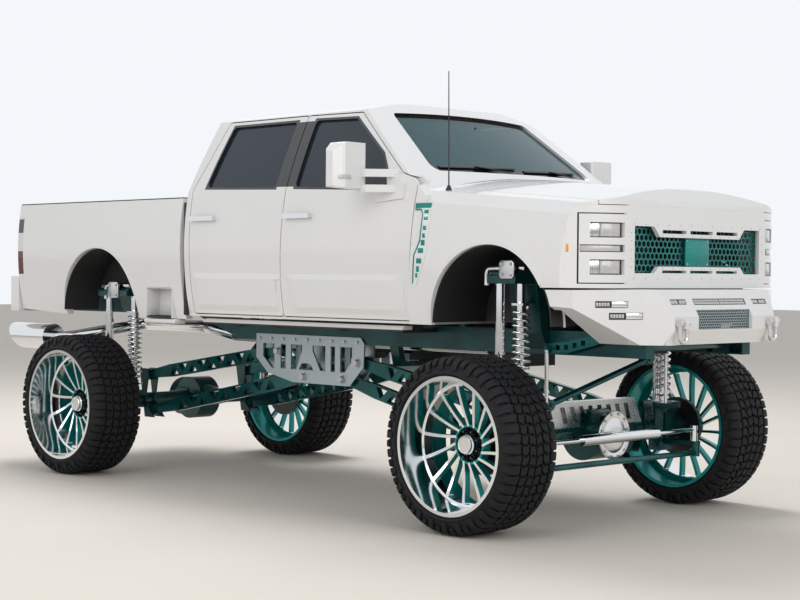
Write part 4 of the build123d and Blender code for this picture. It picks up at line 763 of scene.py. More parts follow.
# %% A sheet of hexagons
def hex_sheet(shape, width, height, cell, web, thickness):
    """Six-sided cells of a radius, drawn flat in x and y, with a web between them."""
    pitch, rise = cell * 3 ** 0.5, cell * 1.5
    rows, columns = int(height / rise) + 2, int(width / pitch) + 2
    for row in range(rows):
        for column in range(columns):
            across = (column - (columns - 1) / 2 + (0.5 if row % 2 else 0.0)) * pitch
            verts = bmesh.ops.create_circle(shape, cap_ends=True, segments=6, radius=cell)["verts"]
            bmesh.ops.translate(shape, vec=(across, (row - (rows - 1) / 2) * rise, 0), verts=verts)
    bmesh.ops.remove_doubles(shape, verts=shape.verts, dist=cell * 0.02)
    for a, b in ((1, 0), (-1, 0), (0, 1), (0, -1)):
        bmesh.ops.bisect_plane(shape, geom=everything(shape), plane_co=(a * width / 2, b * height / 2, 0),
                               plane_no=(a, b, 0), clear_outer=True)
    rims = set(bmesh.ops.inset_individual(shape, faces=shape.faces[:], thickness=web / 2)["faces"])
    bmesh.ops.delete(shape, geom=[face for face in shape.faces if face not in rims], context="FACES")
    made = bmesh.ops.extrude_face_region(shape, geom=shape.faces[:])["geom"]
    bmesh.ops.translate(shape, vec=(0, 0, thickness), verts=only(VERT, made))
    bmesh.ops.recalc_face_normals(shape, faces=shape.faces)


# This turn stands a flat drawing up, facing forwards.
STAND_UP = Matrix(((0, 0, 1, 0), (1, 0, 0, 0), (0, 1, 0, 0), (0, 0, 0, 1)))
GRILLE_X, GRILLE_HALF, GRILLE_LOW, GRILLE_TOP = 0.806, 0.634, 1.5003, 1.8447
VENT_X, VENT_HALF, VENT_LOW, VENT_TOP = 1.018, 0.2697, 1.2153, 1.3297
shape = bmesh.new()
hex_sheet(shape, 2 * GRILLE_HALF, GRILLE_TOP - GRILLE_LOW, 0.0235, 0.011, 0.006)
middle = Matrix.Translation(at(GRILLE_X, 0, (GRILLE_LOW + GRILLE_TOP) / 2))
bmesh.ops.transform(shape, matrix=middle @ STAND_UP, verts=shape.verts)
piece("grille_cells", shape, mesh_teal, stands_for=["grille_mesh"])
shape = bmesh.new()
hex_sheet(shape, 2 * VENT_HALF, VENT_TOP - VENT_LOW, 0.0105, 0.006, 0.004)
middle = Matrix.Translation(at(VENT_X, 0, (VENT_LOW + VENT_TOP) / 2))
bmesh.ops.transform(shape, matrix=middle @ STAND_UP, verts=shape.verts)
piece("bumper_vent_cells", shape, plate_silver)

# %% [markdown]
# ## Trim that lies on a curved panel
# The body's panels are curved, so a flat strip would sink into them. Each strip is drawn flat with its own
# height above the panel, cut into short lengths so that it can bend, and then every point is dropped along
# one axis until it is that height above the CAD mesh. Blender's ray cast finds the panel.

# %% Finding a panel and laying a flat shape on it
SIDE_ON = Matrix(((1, 0, 0, 0), (0, 0, 1, 0), (0, 1, 0, 0), (0, 0, 0, 1)))
LIFT = 0.0004


def skin(*nodes):
    """What a ray meets on some CAD nodes."""
    spots, faces = [], []
    for node in nodes:
        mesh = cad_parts[node].data
        start = len(spots)
        spots += [vert.co.copy() for vert in mesh.vertices]
        faces += [[start + index for index in face.vertices] for face in mesh.polygons]
    return BVHTree.FromPolygons(spots, faces)


def cut_every(shape, axis, step):
    """Cuts across a shape at even steps along an axis, so that it can bend."""
    ends = [vert.co[axis] for vert in shape.verts]
    low, length = min(ends), max(ends) - min(ends)
    count = int(length / step)
    for turn in range(1, count + 1):
        place, normal = Vector(), Vector()
        place[axis], normal[axis] = low + turn * length / (count + 1), 1
        bmesh.ops.bisect_plane(shape, geom=everything(shape), plane_co=place, plane_no=normal)


def lay_on(shape, panel, axis, way):
    """Drops points along an axis; the height that they were drawn at stays between them and the panel."""
    toward = Vector()
    toward[axis] = -way
    for vert in shape.verts:
        start = vert.co.copy()
        start[axis] = way * 4.0
        met = panel.ray_cast(start, toward)[0] or panel.find_nearest(vert.co)[0]
        vert.co[axis] = met[axis] + way * vert.co[axis]
    bmesh.ops.recalc_face_normals(shape, faces=shape.faces[:])


def studs(shape, places, axis, way, radius, height):
    """Domed heads that stand up along an axis."""
    dome = [(0.0, height), (radius * 0.6, height * 0.85), (radius * 0.95, height * 0.35), (radius, -0.0005),
            (0.0, -0.0005)]
    for place in places:
        turned(shape, [(out, way * rise) for out, rise in dome], place, axis, 10)


def patch(shape, across, up, depth, move=STAND_UP, bevel=0.002):
    """A rounded block over two ranges, a little above the panel it will lie on."""
    corners = [(across[0], up[0]), (across[1], up[0]), (across[1], up[1]), (across[0], up[1])]
    slab(shape, corners, depth, move @ Matrix.Translation((0, 0, LIFT)), bevel=bevel)


front_skin = skin("grille_frame", "headlamps", "fenders")
side_skin = skin("fenders", "cargo_bed", "cab_shell")
lamp_skin, pod_skin, screen_skin = skin("headlamps"), skin("bumper_lamps"), skin("cab_glass", "cab_shell")
print("skins ready")

# %% [markdown]
# ## Grille rivets and centre plate
# The white frame is held by rows of small rivets, and a plain teal plate fills the middle of the opening.
# The rivets are spun domes, dropped onto the frame's slightly bowed face.

# %% Rivets
RIVETS = [(0, -0.63 + 0.105 * turn, z) for turn in range(13) for z in (1.820, 1.510)]
RIVETS += [(0, -0.372 + 0.093 * turn, z) for turn in range(9) for z in (1.759, 1.567)]
RIVETS += [(0, way * 0.651, z) for way in (1, -1) for z in (1.772, 1.722, 1.673, 1.624, 1.574)]
shape = bmesh.new()
studs(shape, RIVETS, "X", 1, 0.0048, 0.0035)
piece("grille_rivets", shape, steel, smooth=60, laid=(front_skin, 0, 1))

# %% Plain plate in the middle of the grille
PLATE_BACK, PLATE_DEPTH, PLATE_HALF, PLATE_LOW, PLATE_TOP = 0.826, 0.010, 0.117, 1.5788, 1.7472
shape = bmesh.new()
corners = [(-PLATE_HALF, PLATE_LOW), (PLATE_HALF, PLATE_LOW), (PLATE_HALF, PLATE_TOP), (-PLATE_HALF, PLATE_TOP)]
slab(shape, corners, PLATE_DEPTH, Matrix.Translation(at(PLATE_BACK, 0, 0)) @ STAND_UP, bevel=0.003)
piece("grille_plate", shape, bright_teal)
shape = bmesh.new()
places = [at(PLATE_BACK + PLATE_DEPTH, y, z) for y in (-0.100, 0.100) for z in (1.595, 1.731)]
studs(shape, places, "X", 1, 0.006, 0.004)
piece("grille_plate_bolts", shape, steel, smooth=60)

# %% [markdown]
# ## Headlamps
# Each lamp has a tall pocket above and below a narrow bar. In each pocket the outer third is a ribbed
# reflector and the rest a smooth pale lens with a dark gap at its inner end. They are drawn flat and laid
# on the pocket's curved floor, a little below the lamp's face.

# %% Reflectors, lenses and marker lamps
reflectors, lenses = bmesh.new(), bmesh.new()
for low_z, high_z in ((1.738, 1.824), (1.528, 1.614)):
    patch(reflectors, (-0.899, -0.846), (low_z + 0.006, high_z - 0.006), 0.006)
    for turn in range(6):
        edge = -0.894 + turn * 0.0085
        patch(reflectors, (edge, edge + 0.004), (low_z + 0.008, high_z - 0.008), 0.012, bevel=0.0015)
    patch(lenses, (-0.840, -0.727), (low_z + 0.006, high_z - 0.006), 0.015, bevel=0.004)
patch(lenses, (-0.940, -0.730), (1.661, 1.693), 0.009, bevel=0.003)
for shape in (reflectors, lenses):
    cut_every(shape, 1, 0.02)
piece("lamp_reflectors", reflectors, chrome, laid=(lamp_skin, 0, 1), both=True)
piece("lamp_lenses", lenses, lamp_clear, laid=(lamp_skin, 0, 1), both=True)
shape = bmesh.new()
patch(shape, (AXLE_X + 0.657, AXLE_X + 0.668), (1.655, 1.700), 0.003, SIDE_ON)
piece("marker_lamps", shape, amber, laid=(lamp_skin, 1, -1), both=True)

# %% [markdown]
# ## Bumper lamps
# The white plough bumper has pairs of lamps cut into its wings, a long bar in its middle and a small pair of
# pods beside that. Every lamp is a black housing in the CAD model, so it only needs its bright cells.

# %% Cells in the bumper's lamps
cells, plates = bmesh.new(), bmesh.new()
for low_y, high_y, low_z, high_z in ((0.685, 0.867, 1.340, 1.379), (0.602, 0.792, 1.273, 1.313)):
    half = (low_y + high_y) / 2
    for turn in range(5):
        edge = -(half + 0.008 + turn * 0.0155)
        patch(cells, (edge - 0.012, edge), (low_z + 0.009, high_z - 0.009), 0.003)
    patch(plates, (-half + 0.004, -low_y - 0.003), (low_z + 0.003, high_z - 0.003), 0.003)
CELL_ROWS = [
    # first edge, pitch, width, count, lowest and highest of each row
    (-0.470, 0.032, 0.028, 2, [(1.3645, 1.3855)]),
    (-0.392, 0.030, 0.026, 2, [(1.3645, 1.3855)]),
    (-0.250, 0.0192, 0.016, 13, [(1.361, 1.374), (1.376, 1.389)]),
]
for first, pitch, width, count, heights in CELL_ROWS:
    for turn in range(count):
        for upwards in heights:
            patch(cells, (first + turn * pitch, first + turn * pitch + width), upwards, 0.003)
piece("bumper_lamp_cells", cells, lamp_clear, laid=(pod_skin, 0, 1), both=True)
piece("bumper_lamp_plates", plates, chrome, laid=(pod_skin, 0, 1), both=True)

# %% [markdown]
# ## Fender vents
# Behind each front arch a tall vent narrows towards the sill. It has a teal bar across its top, a dark teal
# edge along its back and a row of teal openings in a white frame.

# %% Vents
VENT_SHIFT = AXLE_X + 0.066
VENT_OUTLINE = [(-0.474, 1.957), (-0.599, 1.957), (-0.599, 1.925), (-0.548, 1.922), (-0.534, 1.895),
                (-0.553, 1.729), (-0.603, 1.639), (-0.617, 1.461), (-0.588, 1.448), (-0.514, 1.598),
                (-0.497, 1.659), (-0.474, 1.935)]
VENT_EDGE = [(-0.599, 1.925), (-0.545, 1.922), (-0.529, 1.893), (-0.545, 1.727), (-0.594, 1.639),
             (-0.606, 1.470), (-0.617, 1.461), (-0.604, 1.641), (-0.555, 1.731), (-0.536, 1.893),
             (-0.551, 1.914), (-0.599, 1.914)]
VENT_BAR = [(-0.474, 1.957), (-0.599, 1.957), (-0.599, 1.927), (-0.476, 1.927)]
VENT_HOLES = [
    # x at the middle, width, lowest, highest
    (-0.507, 0.026, 1.893, 1.915), (-0.509, 0.024, 1.853, 1.873), (-0.514, 0.022, 1.792, 1.818),
    (-0.519, 0.022, 1.744, 1.772), (-0.525, 0.032, 1.698, 1.732), (-0.543, 0.046, 1.652, 1.682),
    (-0.556, 0.044, 1.588, 1.620), (-0.567, 0.026, 1.536, 1.572), (-0.578, 0.018, 1.502, 1.530),
]
base, teal = bmesh.new(), bmesh.new()
for shape, outline, depth, bevel in ((base, VENT_OUTLINE, 0.005, 0.0015), (teal, VENT_EDGE, 0.007, 0.001),
                                     (teal, VENT_BAR, 0.007, 0.001)):
    slab(shape, [(x + VENT_SHIFT, z) for x, z in outline], depth, SIDE_ON, bevel=bevel)
for x, width, low_z, high_z in VENT_HOLES:
    middle_x = x + VENT_SHIFT
    patch(teal, (middle_x - width / 2, middle_x + width / 2), (low_z, high_z), 0.006, SIDE_ON, bevel=0.001)
for shape in (base, teal):
    cut_every(shape, 2, 0.04)
    cut_every(shape, 0, 0.015)
piece("vent_frames", base, body_white, laid=(side_skin, 1, -1), both=True)
piece("vent_inserts", teal, bright_teal, laid=(side_skin, 1, -1), both=True)

# %% [markdown]
# ## Swell below the doors' crease
# A crease runs along the doors at knee height, and below it the skin swells a few millimetres outwards down
# to the sill. The swell is a shallow profile that is extruded along the door, faded out at its ends, and laid
# on the door's curved skin, so that it moves with the door.

# %% Door swells
SWELL, SWELL_SUNK = 0.011, -0.08
SWELL_PROFILE = [(1.518, 0.0003), (1.482, 1.0), (1.400, 1.0), (1.300, 1.0), (1.262, 0.0003)]
# rear end, front end, and how far the swell fades from each
SWELLS = {"front": (AXLE_X - 1.752, AXLE_X - 0.600, 0.07, 0.22),
          "rear": (AXLE_X - 2.782, AXLE_X - 1.772, 0.07, 0.07)}
for end, (back_x, front_x, back_fade, front_fade) in SWELLS.items():
    for side, way in SIDES.items():
        shape = bmesh.new()
        line = [shape.verts.new((back_x, share, z)) for z, share in SWELL_PROFILE]
        line += [shape.verts.new((back_x, SWELL_SUNK, z)) for z in (1.262, 1.518)]
        made = bmesh.ops.extrude_face_region(shape, geom=[shape.faces.new(line)])["geom"]
        bmesh.ops.translate(shape, vec=(front_x - back_x, 0, 0), verts=only(VERT, made))
        cut_every(shape, 0, 0.05)
        for vert in shape.verts:
            x = vert.co.x
            vert.co.y *= SWELL * min(1.0, (x - back_x) / back_fade + 0.02, (front_x - x) / front_fade + 0.02)
        piece(f"door_swell_{end}_{side}", shape, body_white, f"{end}_door_{side}", smooth=10,
              laid=(skin(f"door_{end}_{side}"), 1, way))

# %% [markdown]
# ## Arch lips, bed rails and the gap behind the cab
# Thin parts draw the body's edges: a rolled lip round each arch, a black cap along the top of each bed
# wall, and a black seal in the gap between cab and bed.

# %% Rolled lips round the arches
ARCHES = {"front": (AXLE_X + 0.067, "fenders"), "rear": (AXLE_X - 3.950, "cargo_bed")}
ARCH_Z = 1.225
LIP = [(0.4765, 0.0003), (0.4895, 0.0003), (0.4885, 0.0065), (0.4805, 0.0085), (0.4765, 0.0065)]
for name, (middle_x, node) in ARCHES.items():
    shape = bmesh.new()
    shape.faces.new([shape.verts.new((a, b, 0)) for a, b in LIP])
    bmesh.ops.spin(shape, geom=everything(shape), cent=(0, 0, 0), axis=(0, 1, 0), angle=-pi, steps=48)
    bmesh.ops.remove_doubles(shape, verts=shape.verts, dist=0.0001)
    bmesh.ops.translate(shape, vec=(middle_x, 0, ARCH_Z), verts=shape.verts)
    piece(f"arch_lips_{name}", shape, body_white, smooth=40, laid=(skin(node), 1, -1), both=True)

# %% Bed rail caps and the seal behind the cab
BED_BACK_X, BED_FRONT_X, RAIL_Z = AXLE_X - 5.044, AXLE_X - 2.908, 2.0503
shape = bmesh.new()
for back_x, low_y, high_y in ((BED_BACK_X, -0.986, -0.890), (AXLE_X - 2.962, -0.888, 0.0)):
    slab(shape, [(back_x, low_y), (BED_FRONT_X, low_y), (BED_FRONT_X, high_y), (back_x, high_y)], 0.008,
         Matrix.Translation((0, 0, RAIL_Z)), bevel=0.003)
bar(shape, (0.036, 0.024, 0.80), at(-2.8845, -0.972, 1.620), bevel=0.004)
piece("bed_rail_caps", shape, black_plastic, both=True)

# %% [markdown]
# ## Suspension towers
# Each pair of dampers hangs from a tower under the body. A silver plate closes the tower's end, held by four
# bolts, and a chrome tube lies across its top and turns down behind it. The tube's bend is a spin of its own
# circle, and both straight ends are extruded from the bend's open rims.

# %% A tube with one bend
FACE_RIGHT = Matrix(((1, 0, 0, 0), (0, 0, -1, 0), (0, 1, 0, 0), (0, 0, 0, 1)))


def bent_tube(shape, corner, front_x, low_z, radius, bend):
    """A tube along x that turns down at its rear corner."""
    x, y, z = corner
    circle = bmesh.ops.create_circle(shape, segments=16, radius=radius)["verts"]
    bmesh.ops.rotate(shape, cent=(0, 0, 0), matrix=Matrix.Rotation(radians(90), 3, "Y"), verts=circle)
    bmesh.ops.translate(shape, vec=(x + bend, y, z), verts=circle)
    first = edges_of(circle)
    made = bmesh.ops.spin(shape, geom=circle + first, cent=(x + bend, y, z - bend), axis=(0, 1, 0),
                          angle=-pi / 2, steps=8)
    last = only(EDGE, made["geom_last"])
    for rim, move in ((first, (front_x - x - bend, 0, 0)), (last, (0, 0, low_z - z + bend))):
        out = bmesh.ops.extrude_edge_only(shape, edges=rim)["geom"]
        bmesh.ops.translate(shape, vec=move, verts=only(VERT, out))
        bmesh.ops.edgeloop_fill(shape, edges=[edge for edge in only(EDGE, out) if edge.is_boundary])


def clipped(low_x, high_x, low_z, high_z, cut):
    """The corners of a rectangle whose corners are cut off."""
    return [(low_x + cut, low_z), (high_x - cut, low_z), (high_x, low_z + cut), (high_x, high_z - cut),
            (high_x - cut, high_z), (low_x + cut, high_z), (low_x, high_z - cut), (low_x, low_z + cut)]


# %% Tower plates, bolts and tubes
TOWER_FACE_Y, TOWER_PLATE, BOLT_INSET = 0.8353, 0.012, 0.022
TUBE_Y, TUBE_RADIUS, TUBE_BEND, TUBE_DROP = 0.800, 0.019, 0.035, 0.085
TOWERS = [
    # plate's middle x and z, width, height, tower's top, tube's ends
    (0.069, 1.555, 0.118, 0.108, 1.5455, -0.129, 0.184),
    (-3.974, 1.385, 0.137, 0.120, 1.4005, -4.128, -3.808),
]
plates, bolts, tubes = bmesh.new(), bmesh.new(), bmesh.new()
for x, z, width, height, top_z, back_x, front_x in TOWERS:
    corners = clipped(AXLE_X + x - width / 2, AXLE_X + x + width / 2, z - height / 2, z + height / 2, 0.016)
    slab(plates, corners, TOWER_PLATE, Matrix.Translation((0, -TOWER_FACE_Y, 0)) @ FACE_RIGHT, bevel=0.003)
    for across in (-1, 1):
        for rise in (-1, 1):
            spot = at(x + across * (width / 2 - BOLT_INSET), -TOWER_FACE_Y - TOWER_PLATE + 0.0002,
                      z + rise * (height / 2 - BOLT_INSET))
            tube(bolts, spot, spot + Vector((0, -0.009, 0)), 0.010, 6)
    corner = at(back_x, -TUBE_Y, top_z + TUBE_RADIUS)
    bent_tube(tubes, corner, AXLE_X + front_x, top_z - TUBE_DROP, TUBE_RADIUS, TUBE_BEND)
for name, shape, paint, slot in (("tower_plates", plates, bright_silver, "steel"),
                                 ("tower_bolts", bolts, steel, "steel"),
                                 ("tower_tubes", tubes, chrome, "chrome")):
    mirrored(shape)
    bmesh.ops.recalc_face_normals(shape, faces=shape.faces[:])
    piece(name, shape, paint)

# %% [markdown]
# ## Differential covers and link bolts
# A polished dome closes each axle's differential, ringed by a dozen bolts. The hanger plates carry a big pin
# head at each link and a row of small bolts under the rail. All of them are turned shapes or short hexagons.

# %% Differential covers
COVER_Y, COVER_Z, COVER_BOLTS, BOLT_CIRCLE = 0.04, 0.524, 12, 0.135
covers, bolts = bmesh.new(), bmesh.new()
for face_x, way, rise in ((AXLE_X + 0.1853, 1, 0.017), (AXLE_X - 4.2443, -1, 0.034)):
    profile = [(0.0, rise), (0.050, rise * 0.94), (0.088, rise * 0.66), (0.110, rise * 0.30), (0.118, 0.008),
               (0.150, 0.008), (0.153, 0.005), (0.153, 0.0), (0.0, 0.0)]
    turned(covers, [(radius, along * way) for radius, along in profile], (face_x, COVER_Y, COVER_Z), "X", 48)
    for turn in range(COVER_BOLTS):
        angle = 2 * pi * (turn + 0.5) / COVER_BOLTS
        spot = Vector((face_x + way * 0.0078, COVER_Y + BOLT_CIRCLE * cos(angle),
                       COVER_Z + BOLT_CIRCLE * sin(angle)))
        tube(bolts, spot, spot + Vector((way * 0.008, 0, 0)), 0.0085, 6)
piece("differential_covers", covers, machined)
piece("differential_bolts", bolts, steel)

# %% Pin heads and bolts on the hanger plates
HANGER_FACE_Y = 0.5323
LINK_PINS = [(-1.570, 0.919), (-1.720, 0.800), (-2.396, 0.970), (-2.120, 0.800)]
pins, bolts = bmesh.new(), bmesh.new()
for x, z in LINK_PINS:
    tube(pins, at(x, -HANGER_FACE_Y, z), at(x, -HANGER_FACE_Y - 0.004, z), 0.034, 32)
    tube(pins, at(x, -HANGER_FACE_Y - 0.0038, z), at(x, -HANGER_FACE_Y - 0.022, z), 0.024, 6)
for turn in range(9):
    spot = at(-2.590 + turn * 0.128, -HANGER_FACE_Y, 1.058)
    tube(bolts, spot, spot + Vector((0, -0.009, 0)), 0.011, 6)
piece("link_pin_heads", pins, steel, both=True)
piece("hanger_bolts", bolts, steel, both=True)

# %% [markdown]
# ## Wipers, antenna and mirrors
# The wipers rest low on the curved screen, so their blades are drawn flat and laid on the glass. The antenna
# is a thin tapered rod. Each door mirror gets its glass and a lamp, and a small mirror hangs in the cabin.

# %% Wipers and the rod antenna
shape = bmesh.new()
for start_y, end_y, low_z, rise in ((-0.690, -0.060, 2.196, 0.012), (0.010, 0.620, 2.192, 0.018)):
    blade = [(start_y, low_z), (end_y, low_z + rise), (end_y, low_z + rise + 0.013), (start_y, low_z + 0.013)]
    slab(shape, blade, 0.016, STAND_UP @ Matrix.Translation((0, 0, 0.001)), bevel=0.003)
    foot_y, grip_y = end_y - 0.100, start_y + 0.270
    arm = [(foot_y, 2.180), (foot_y + 0.024, 2.180), (grip_y + 0.012, low_z + 0.018), (grip_y, low_z + 0.018)]
    slab(shape, arm, 0.026, STAND_UP @ Matrix.Translation((0, 0, 0.012)), bevel=0.003)
cut_every(shape, 1, 0.03)
piece("wipers", shape, black_plastic, laid=(screen_skin, 0, 1))

ANTENNA_FOOT, ANTENNA_TOP = at(-0.359, -0.900, 2.0370), at(-0.367, -0.900, 2.760)
shape = bmesh.new()
profile = [(0.0, 0.030), (0.007, 0.029), (0.012, 0.020), (0.019, 0.004), (0.020, 0.0), (0.0, 0.0)]
turned(shape, profile, ANTENNA_FOOT, "Z", 24)
tube(shape, ANTENNA_FOOT + Vector((0, 0, 0.028)), ANTENNA_TOP, 0.0046, 12, 0.0030)
piece("antenna", shape, black_plastic, smooth=40)

# %% Door mirror glass and lamps, and the cabin mirror
for side, way in SIDES.items():
    door, head = f"front_door_{side}", skin(f"mirror_{side}")
    inner_y, outer_y = sorted((way * 1.122, way * 1.325))
    shape = bmesh.new()
    slab(shape, clipped(inner_y, outer_y, 2.145, 2.312, 0.014), 0.004, STAND_UP, bevel=0.0015)
    slab(shape, clipped(inner_y, outer_y, 2.068, 2.135, 0.010), 0.004, STAND_UP, bevel=0.0015)
    piece(f"mirror_glass_{side}", shape, mirror_glass, door, laid=(head, 0, -1))
    shape = bmesh.new()
    slab(shape, clipped(*sorted((way * 1.245, way * 1.325)), 2.104, 2.132, 0.006), 0.006, STAND_UP, bevel=0.002)
    cut_every(shape, 1, 0.02)
    piece(f"mirror_lamp_{side}", shape, lamp_clear, door, laid=(head, 0, 1))
shape = bmesh.new()
bar(shape, (0.026, 0.245, 0.066), at(-1.045, 0, 2.478), 0.011, Matrix.Rotation(radians(-12), 4, "Y"), 3)
tube(shape, at(-1.030, 0, 2.490), at(-0.984, 0, 2.505), 0.008, 12)
piece("cabin_mirror", shape, black_plastic, smooth=40)

# %% [markdown]
# ## Bed step, tailgate handle and rear bumper
# A step is set into the bed's side behind the cab. At the back the tailgate has a plain pull handle, and the
# bumper has three ribbed rubber treads and a blank plate.

# %% Step in the bed's side
STEP, STEP_LENGTH, STEP_TOP, STEP_LOW = -3.178, 0.312, 1.412, 1.192
RECESS, RECESS_Y, WALL = 0.128, -0.933, 0.006
height, middle_z = STEP_TOP - STEP_LOW, (STEP_TOP + STEP_LOW) / 2
shape = bmesh.new()
bar(shape, (STEP_LENGTH, WALL, height), at(STEP, -0.872, middle_z), bevel=0.001)
bar(shape, (STEP_LENGTH, RECESS, WALL), at(STEP, RECESS_Y, STEP_TOP - WALL / 2), bevel=0.001)
for way in (-1, 1):
    end = STEP + way * (STEP_LENGTH - WALL) / 2
    bar(shape, (WALL, RECESS, height), at(end, RECESS_Y, middle_z), bevel=0.001)
bar(shape, (STEP_LENGTH + 0.060, 0.110, 0.036), at(STEP - 0.010, -0.936, 1.170), bevel=0.012, segments=3)
piece("bed_step_box", shape, body_white, both=True)
shape = bmesh.new()
bar(shape, (STEP_LENGTH - 0.012, 0.126, 0.014), at(STEP, -0.934, STEP_LOW + 0.007), bevel=0.003)
for turn in range(9):
    place = at(STEP - 0.128 + turn * 0.032, -0.934, STEP_LOW + 0.0155)
    bar(shape, (0.014, 0.104, 0.004), place, bevel=0.0015, segments=1)
piece("bed_step_tread", shape, black_plastic, both=True)

# %% Tailgate handle, bumper treads and blank plate
shape = bmesh.new()
bar(shape, (0.012, 0.250, 0.064), at(-5.0455, 0, 1.868), bevel=0.005, segments=3)
bar(shape, (0.012, 0.200, 0.022), at(-5.0555, 0, 1.880), bevel=0.005, segments=3)
piece("tailgate_handle", shape, gloss_black, "tailgate_panel", smooth=35)
BUMPER_TOP_Z = 1.470
shape = bmesh.new()
for y in (-0.64, 0.0, 0.64):
    bar(shape, (0.150, 0.340, 0.010), at(-5.195, y, BUMPER_TOP_Z + 0.0053), bevel=0.003)
    for turn in range(12):
        place = at(-5.195, y - 0.154 + turn * 0.028, BUMPER_TOP_Z + 0.0125)
        bar(shape, (0.136, 0.010, 0.005), place, bevel=0.002, segments=1)
piece("bumper_treads", shape, black_plastic)
shape = bmesh.new()
bar(shape, (0.004, 0.305, 0.122), at(-5.3143, 0, 1.333), bevel=0.0015)
piece("blank_plate", shape, body_white)
shape = bmesh.new()
studs(shape, [at(-5.3163, y, z) for y in (-0.135, 0.135) for z in (1.288, 1.378)], "X", -1, 0.006, 0.004)
piece("plate_bolts", shape, steel, smooth=60)

# %% [markdown]
# ## Seats
# Two front seats and a rear bench are padded leather on black bases. A plain block can't show how leather
# swells between its seams, so each pad starts as a rounded block, is remeshed evenly and blown up a little as
# cloth. Its sewn channels are pressed in after that, and one subdivision smooths them.

# %% Blowing up a pad
PAD_VOXEL, PAD_CAP, PAD_FRAMES, PAD_PRESSURE = 0.017, 0.012, 20, 4
CHANNEL_HALF, CHANNEL_DEPTH = 0.026, 0.013


def settled(thing):
    """Puts what the modifiers make into the object's own mesh."""
    mesh = bpy.data.meshes.new_from_object(thing.evaluated_get(bpy.context.evaluated_depsgraph_get()))
    thing.modifiers.clear()
    old, thing.data = thing.data, mesh
    bpy.data.meshes.remove(old)


def blown_up(thing):
    """Blows a closed mesh up as cloth, and limits how far each point may move."""
    start = [vert.co.copy() for vert in thing.data.vertices]
    cloth = thing.modifiers.new("cloth", "CLOTH")
    cloth.settings.use_pressure = True
    cloth.settings.uniform_pressure_force = PAD_PRESSURE
    cloth.settings.effector_weights.gravity = 0
    for frame_number in range(1, PAD_FRAMES + 1):
        scene.frame_set(frame_number)
    settled(thing)
    scene.frame_set(1)
    for vert, first in zip(thing.data.vertices, start):
        move = vert.co - first
        if move.length > PAD_CAP:
            vert.co = first + move.normalized() * PAD_CAP


def pad(name, size, place, lean, face_axis, channels):
    """A leather pad that leans back, with channels sewn across its width on the side it is sat on."""
    shape = bmesh.new()
    bar(shape, [side - 1.6 * PAD_CAP for side in size], (0, 0, 0), bevel=min(size) * 0.30, segments=4)
    thing = as_object(name, shape)
    remesh = thing.modifiers.new("remesh", "REMESH")
    remesh.mode, remesh.voxel_size = "VOXEL", PAD_VOXEL
    settled(thing)
    blown_up(thing)
    for vert in thing.data.vertices:
        for seam in channels:
            near = max(0.0, 1 - abs(vert.co.y - seam) / CHANNEL_HALF)
            if vert.co[face_axis] > 0:
                vert.co[face_axis] -= CHANNEL_DEPTH * near * near
    thing.data.transform(Matrix.Translation(at(*place)) @ Matrix.Rotation(radians(-lean), 4, "Y"))
    thing.data.polygons.foreach_set("use_smooth", [True] * len(thing.data.polygons))
    thing.data.materials.append(leather.material)
    smooth = thing.modifiers.new("smooth", "SUBSURF")
    smooth.levels = smooth.render_levels = 1
    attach(thing, "chassis")
    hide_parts("seats")
    print(name, "points", len(thing.data.vertices))


# %% Pads of the two front seats and the rear bench
BASE_LEAN, BACK_LEAN = -3, 11.5
SEAT_Y, HEADREST_YS = 0.400, (-0.440, 0.0, 0.440)
BENCH_CHANNELS = (-0.440, -0.210, 0.210, 0.440)
for side, way in SIDES.items():
    y = way * SEAT_Y
    pad(f"seat_base_{side}", (0.50, 0.49, 0.17), (-1.300, y, 1.533), BASE_LEAN, 2, (-0.150, 0.150))
    pad(f"seat_back_{side}", (0.13, 0.47, 0.50), (-1.541, y, 1.812), BACK_LEAN, 0, (-0.145, 0.145))
    pad(f"seat_headrest_{side}", (0.085, 0.26, 0.145), (-1.604, y, 2.120), BACK_LEAN, 0, ())
pad("bench_base", (0.49, 1.34, 0.17), (-2.310, 0, 1.533), BASE_LEAN, 2, BENCH_CHANNELS)
pad("bench_back", (0.13, 1.34, 0.52), (-2.577, 0, 1.820), BACK_LEAN, 0, BENCH_CHANNELS)
for number, y in enumerate(HEADREST_YS):
    pad(f"bench_headrest_{number}", (0.080, 0.24, 0.115), (-2.642, y, 2.125), BACK_LEAN, 0, ())

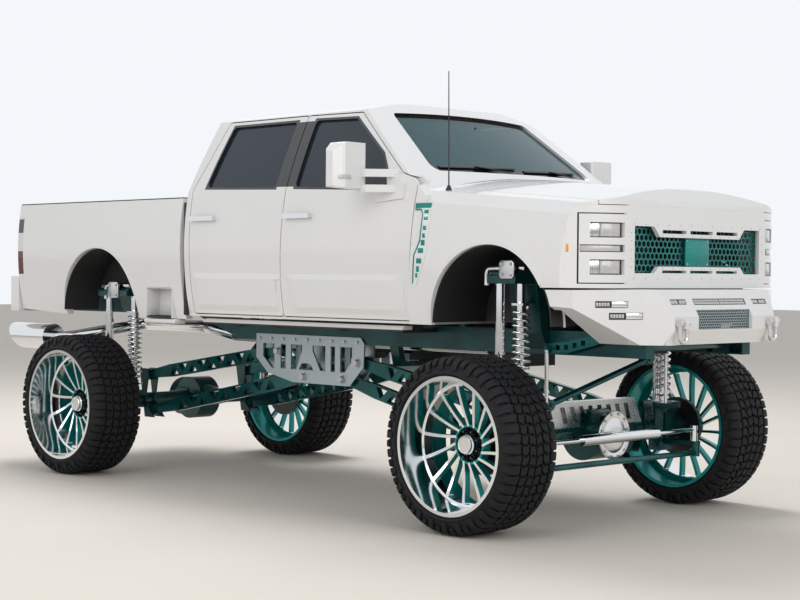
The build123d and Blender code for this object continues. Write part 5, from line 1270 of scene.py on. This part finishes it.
# %% Seat bases and headrest posts
shape = bmesh.new()
for ahead, y, width in ((-1.300, -SEAT_Y, 0.420), (-1.300, SEAT_Y, 0.420), (-2.310, 0, 1.260)):
    bar(shape, (0.440, width, 0.180), at(ahead, y, 1.366), bevel=0.020, segments=3)
for gap in (-1, 1):
    for y in (-SEAT_Y, SEAT_Y):
        tube(shape, at(-1.578, y + gap * 0.060, 2.000), at(-1.600, y + gap * 0.060, 2.100), 0.006, 12)
    for y in HEADREST_YS:
        tube(shape, at(-2.618, y + gap * 0.050, 2.010), at(-2.640, y + gap * 0.050, 2.110), 0.006, 12)
piece("seat_bases", shape, black_plastic, smooth=35, stands_for=["seats"])

# %% [markdown]
# ## Floor, world and lamps
# The floor and the backdrop are pale. The world shows that same pale tone to the camera and to metal and
# glass, and lights everything else gently, so that a colour renders about as it was written.

# %% Floor
FLOOR_HALF = 60
shape = bmesh.new()
bmesh.ops.create_grid(shape, x_segments=1, y_segments=1, size=FLOOR_HALF)
floor_paint = Paint("floor", Roughness=0.8)
floor_paint.set(Base_Color=floor_paint.mix(floor_paint.noise(0.7, 4.0), (0.70, 0.64, 0.57), (0.75, 0.70, 0.63)))
floor = as_object("floor", shape)
floor.data.materials.append(floor_paint.material)

# %% World and lamps
FILL_STRENGTH = 0.56
world = bpy.data.worlds.new("world")
scene.world = world
world.use_nodes = True
world.node_tree.nodes.clear()
sky = Sheet(world.node_tree)
camera_ray, glossy_ray, through_ray = [sky.node("ShaderNodeLightPath", {}, {}, f"Is {kind} Ray")
                                       for kind in ("Camera", "Glossy", "Transmission")]
fill = sky.node("ShaderNodeBackground", {}, {"Color": (0.93, 0.96, 1.0), "Strength": FILL_STRENGTH})
backdrop = sky.node("ShaderNodeBackground", {}, {"Color": (0.90, 0.93, 0.96)})
shown = sky.node("ShaderNodeMixShader", {}, [camera_ray.most(glossy_ray).most(through_ray), fill, backdrop])
sky.feed(sky.tree.nodes.new("ShaderNodeOutputWorld").inputs["Surface"], shown)

LAMPS = [
    # name, place, aim, size, power
    ("key", (-5.0, 3.0, 11.0), (0.5, 0, 1.0), 5.0, 860),
    ("near_side", (3.0, -11.0, 6.0), (0.0, 0, 1.4), 7.0, 350),
    ("front", (13.0, -2.0, 5.5), (2.5, 0, 1.2), 6.0, 330),
]
for name, place, aim, size, power in LAMPS:
    lamp = bpy.data.lights.new(name, "AREA")
    lamp.size, lamp.energy = size, power
    holder = bpy.data.objects.new(name, lamp)
    holder.matrix_world = Matrix.Translation(place) @ aimed(aim, place)
    scene.collection.objects.link(holder)
scene.view_settings.view_transform = "Standard"
print("lamps", len(LAMPS))
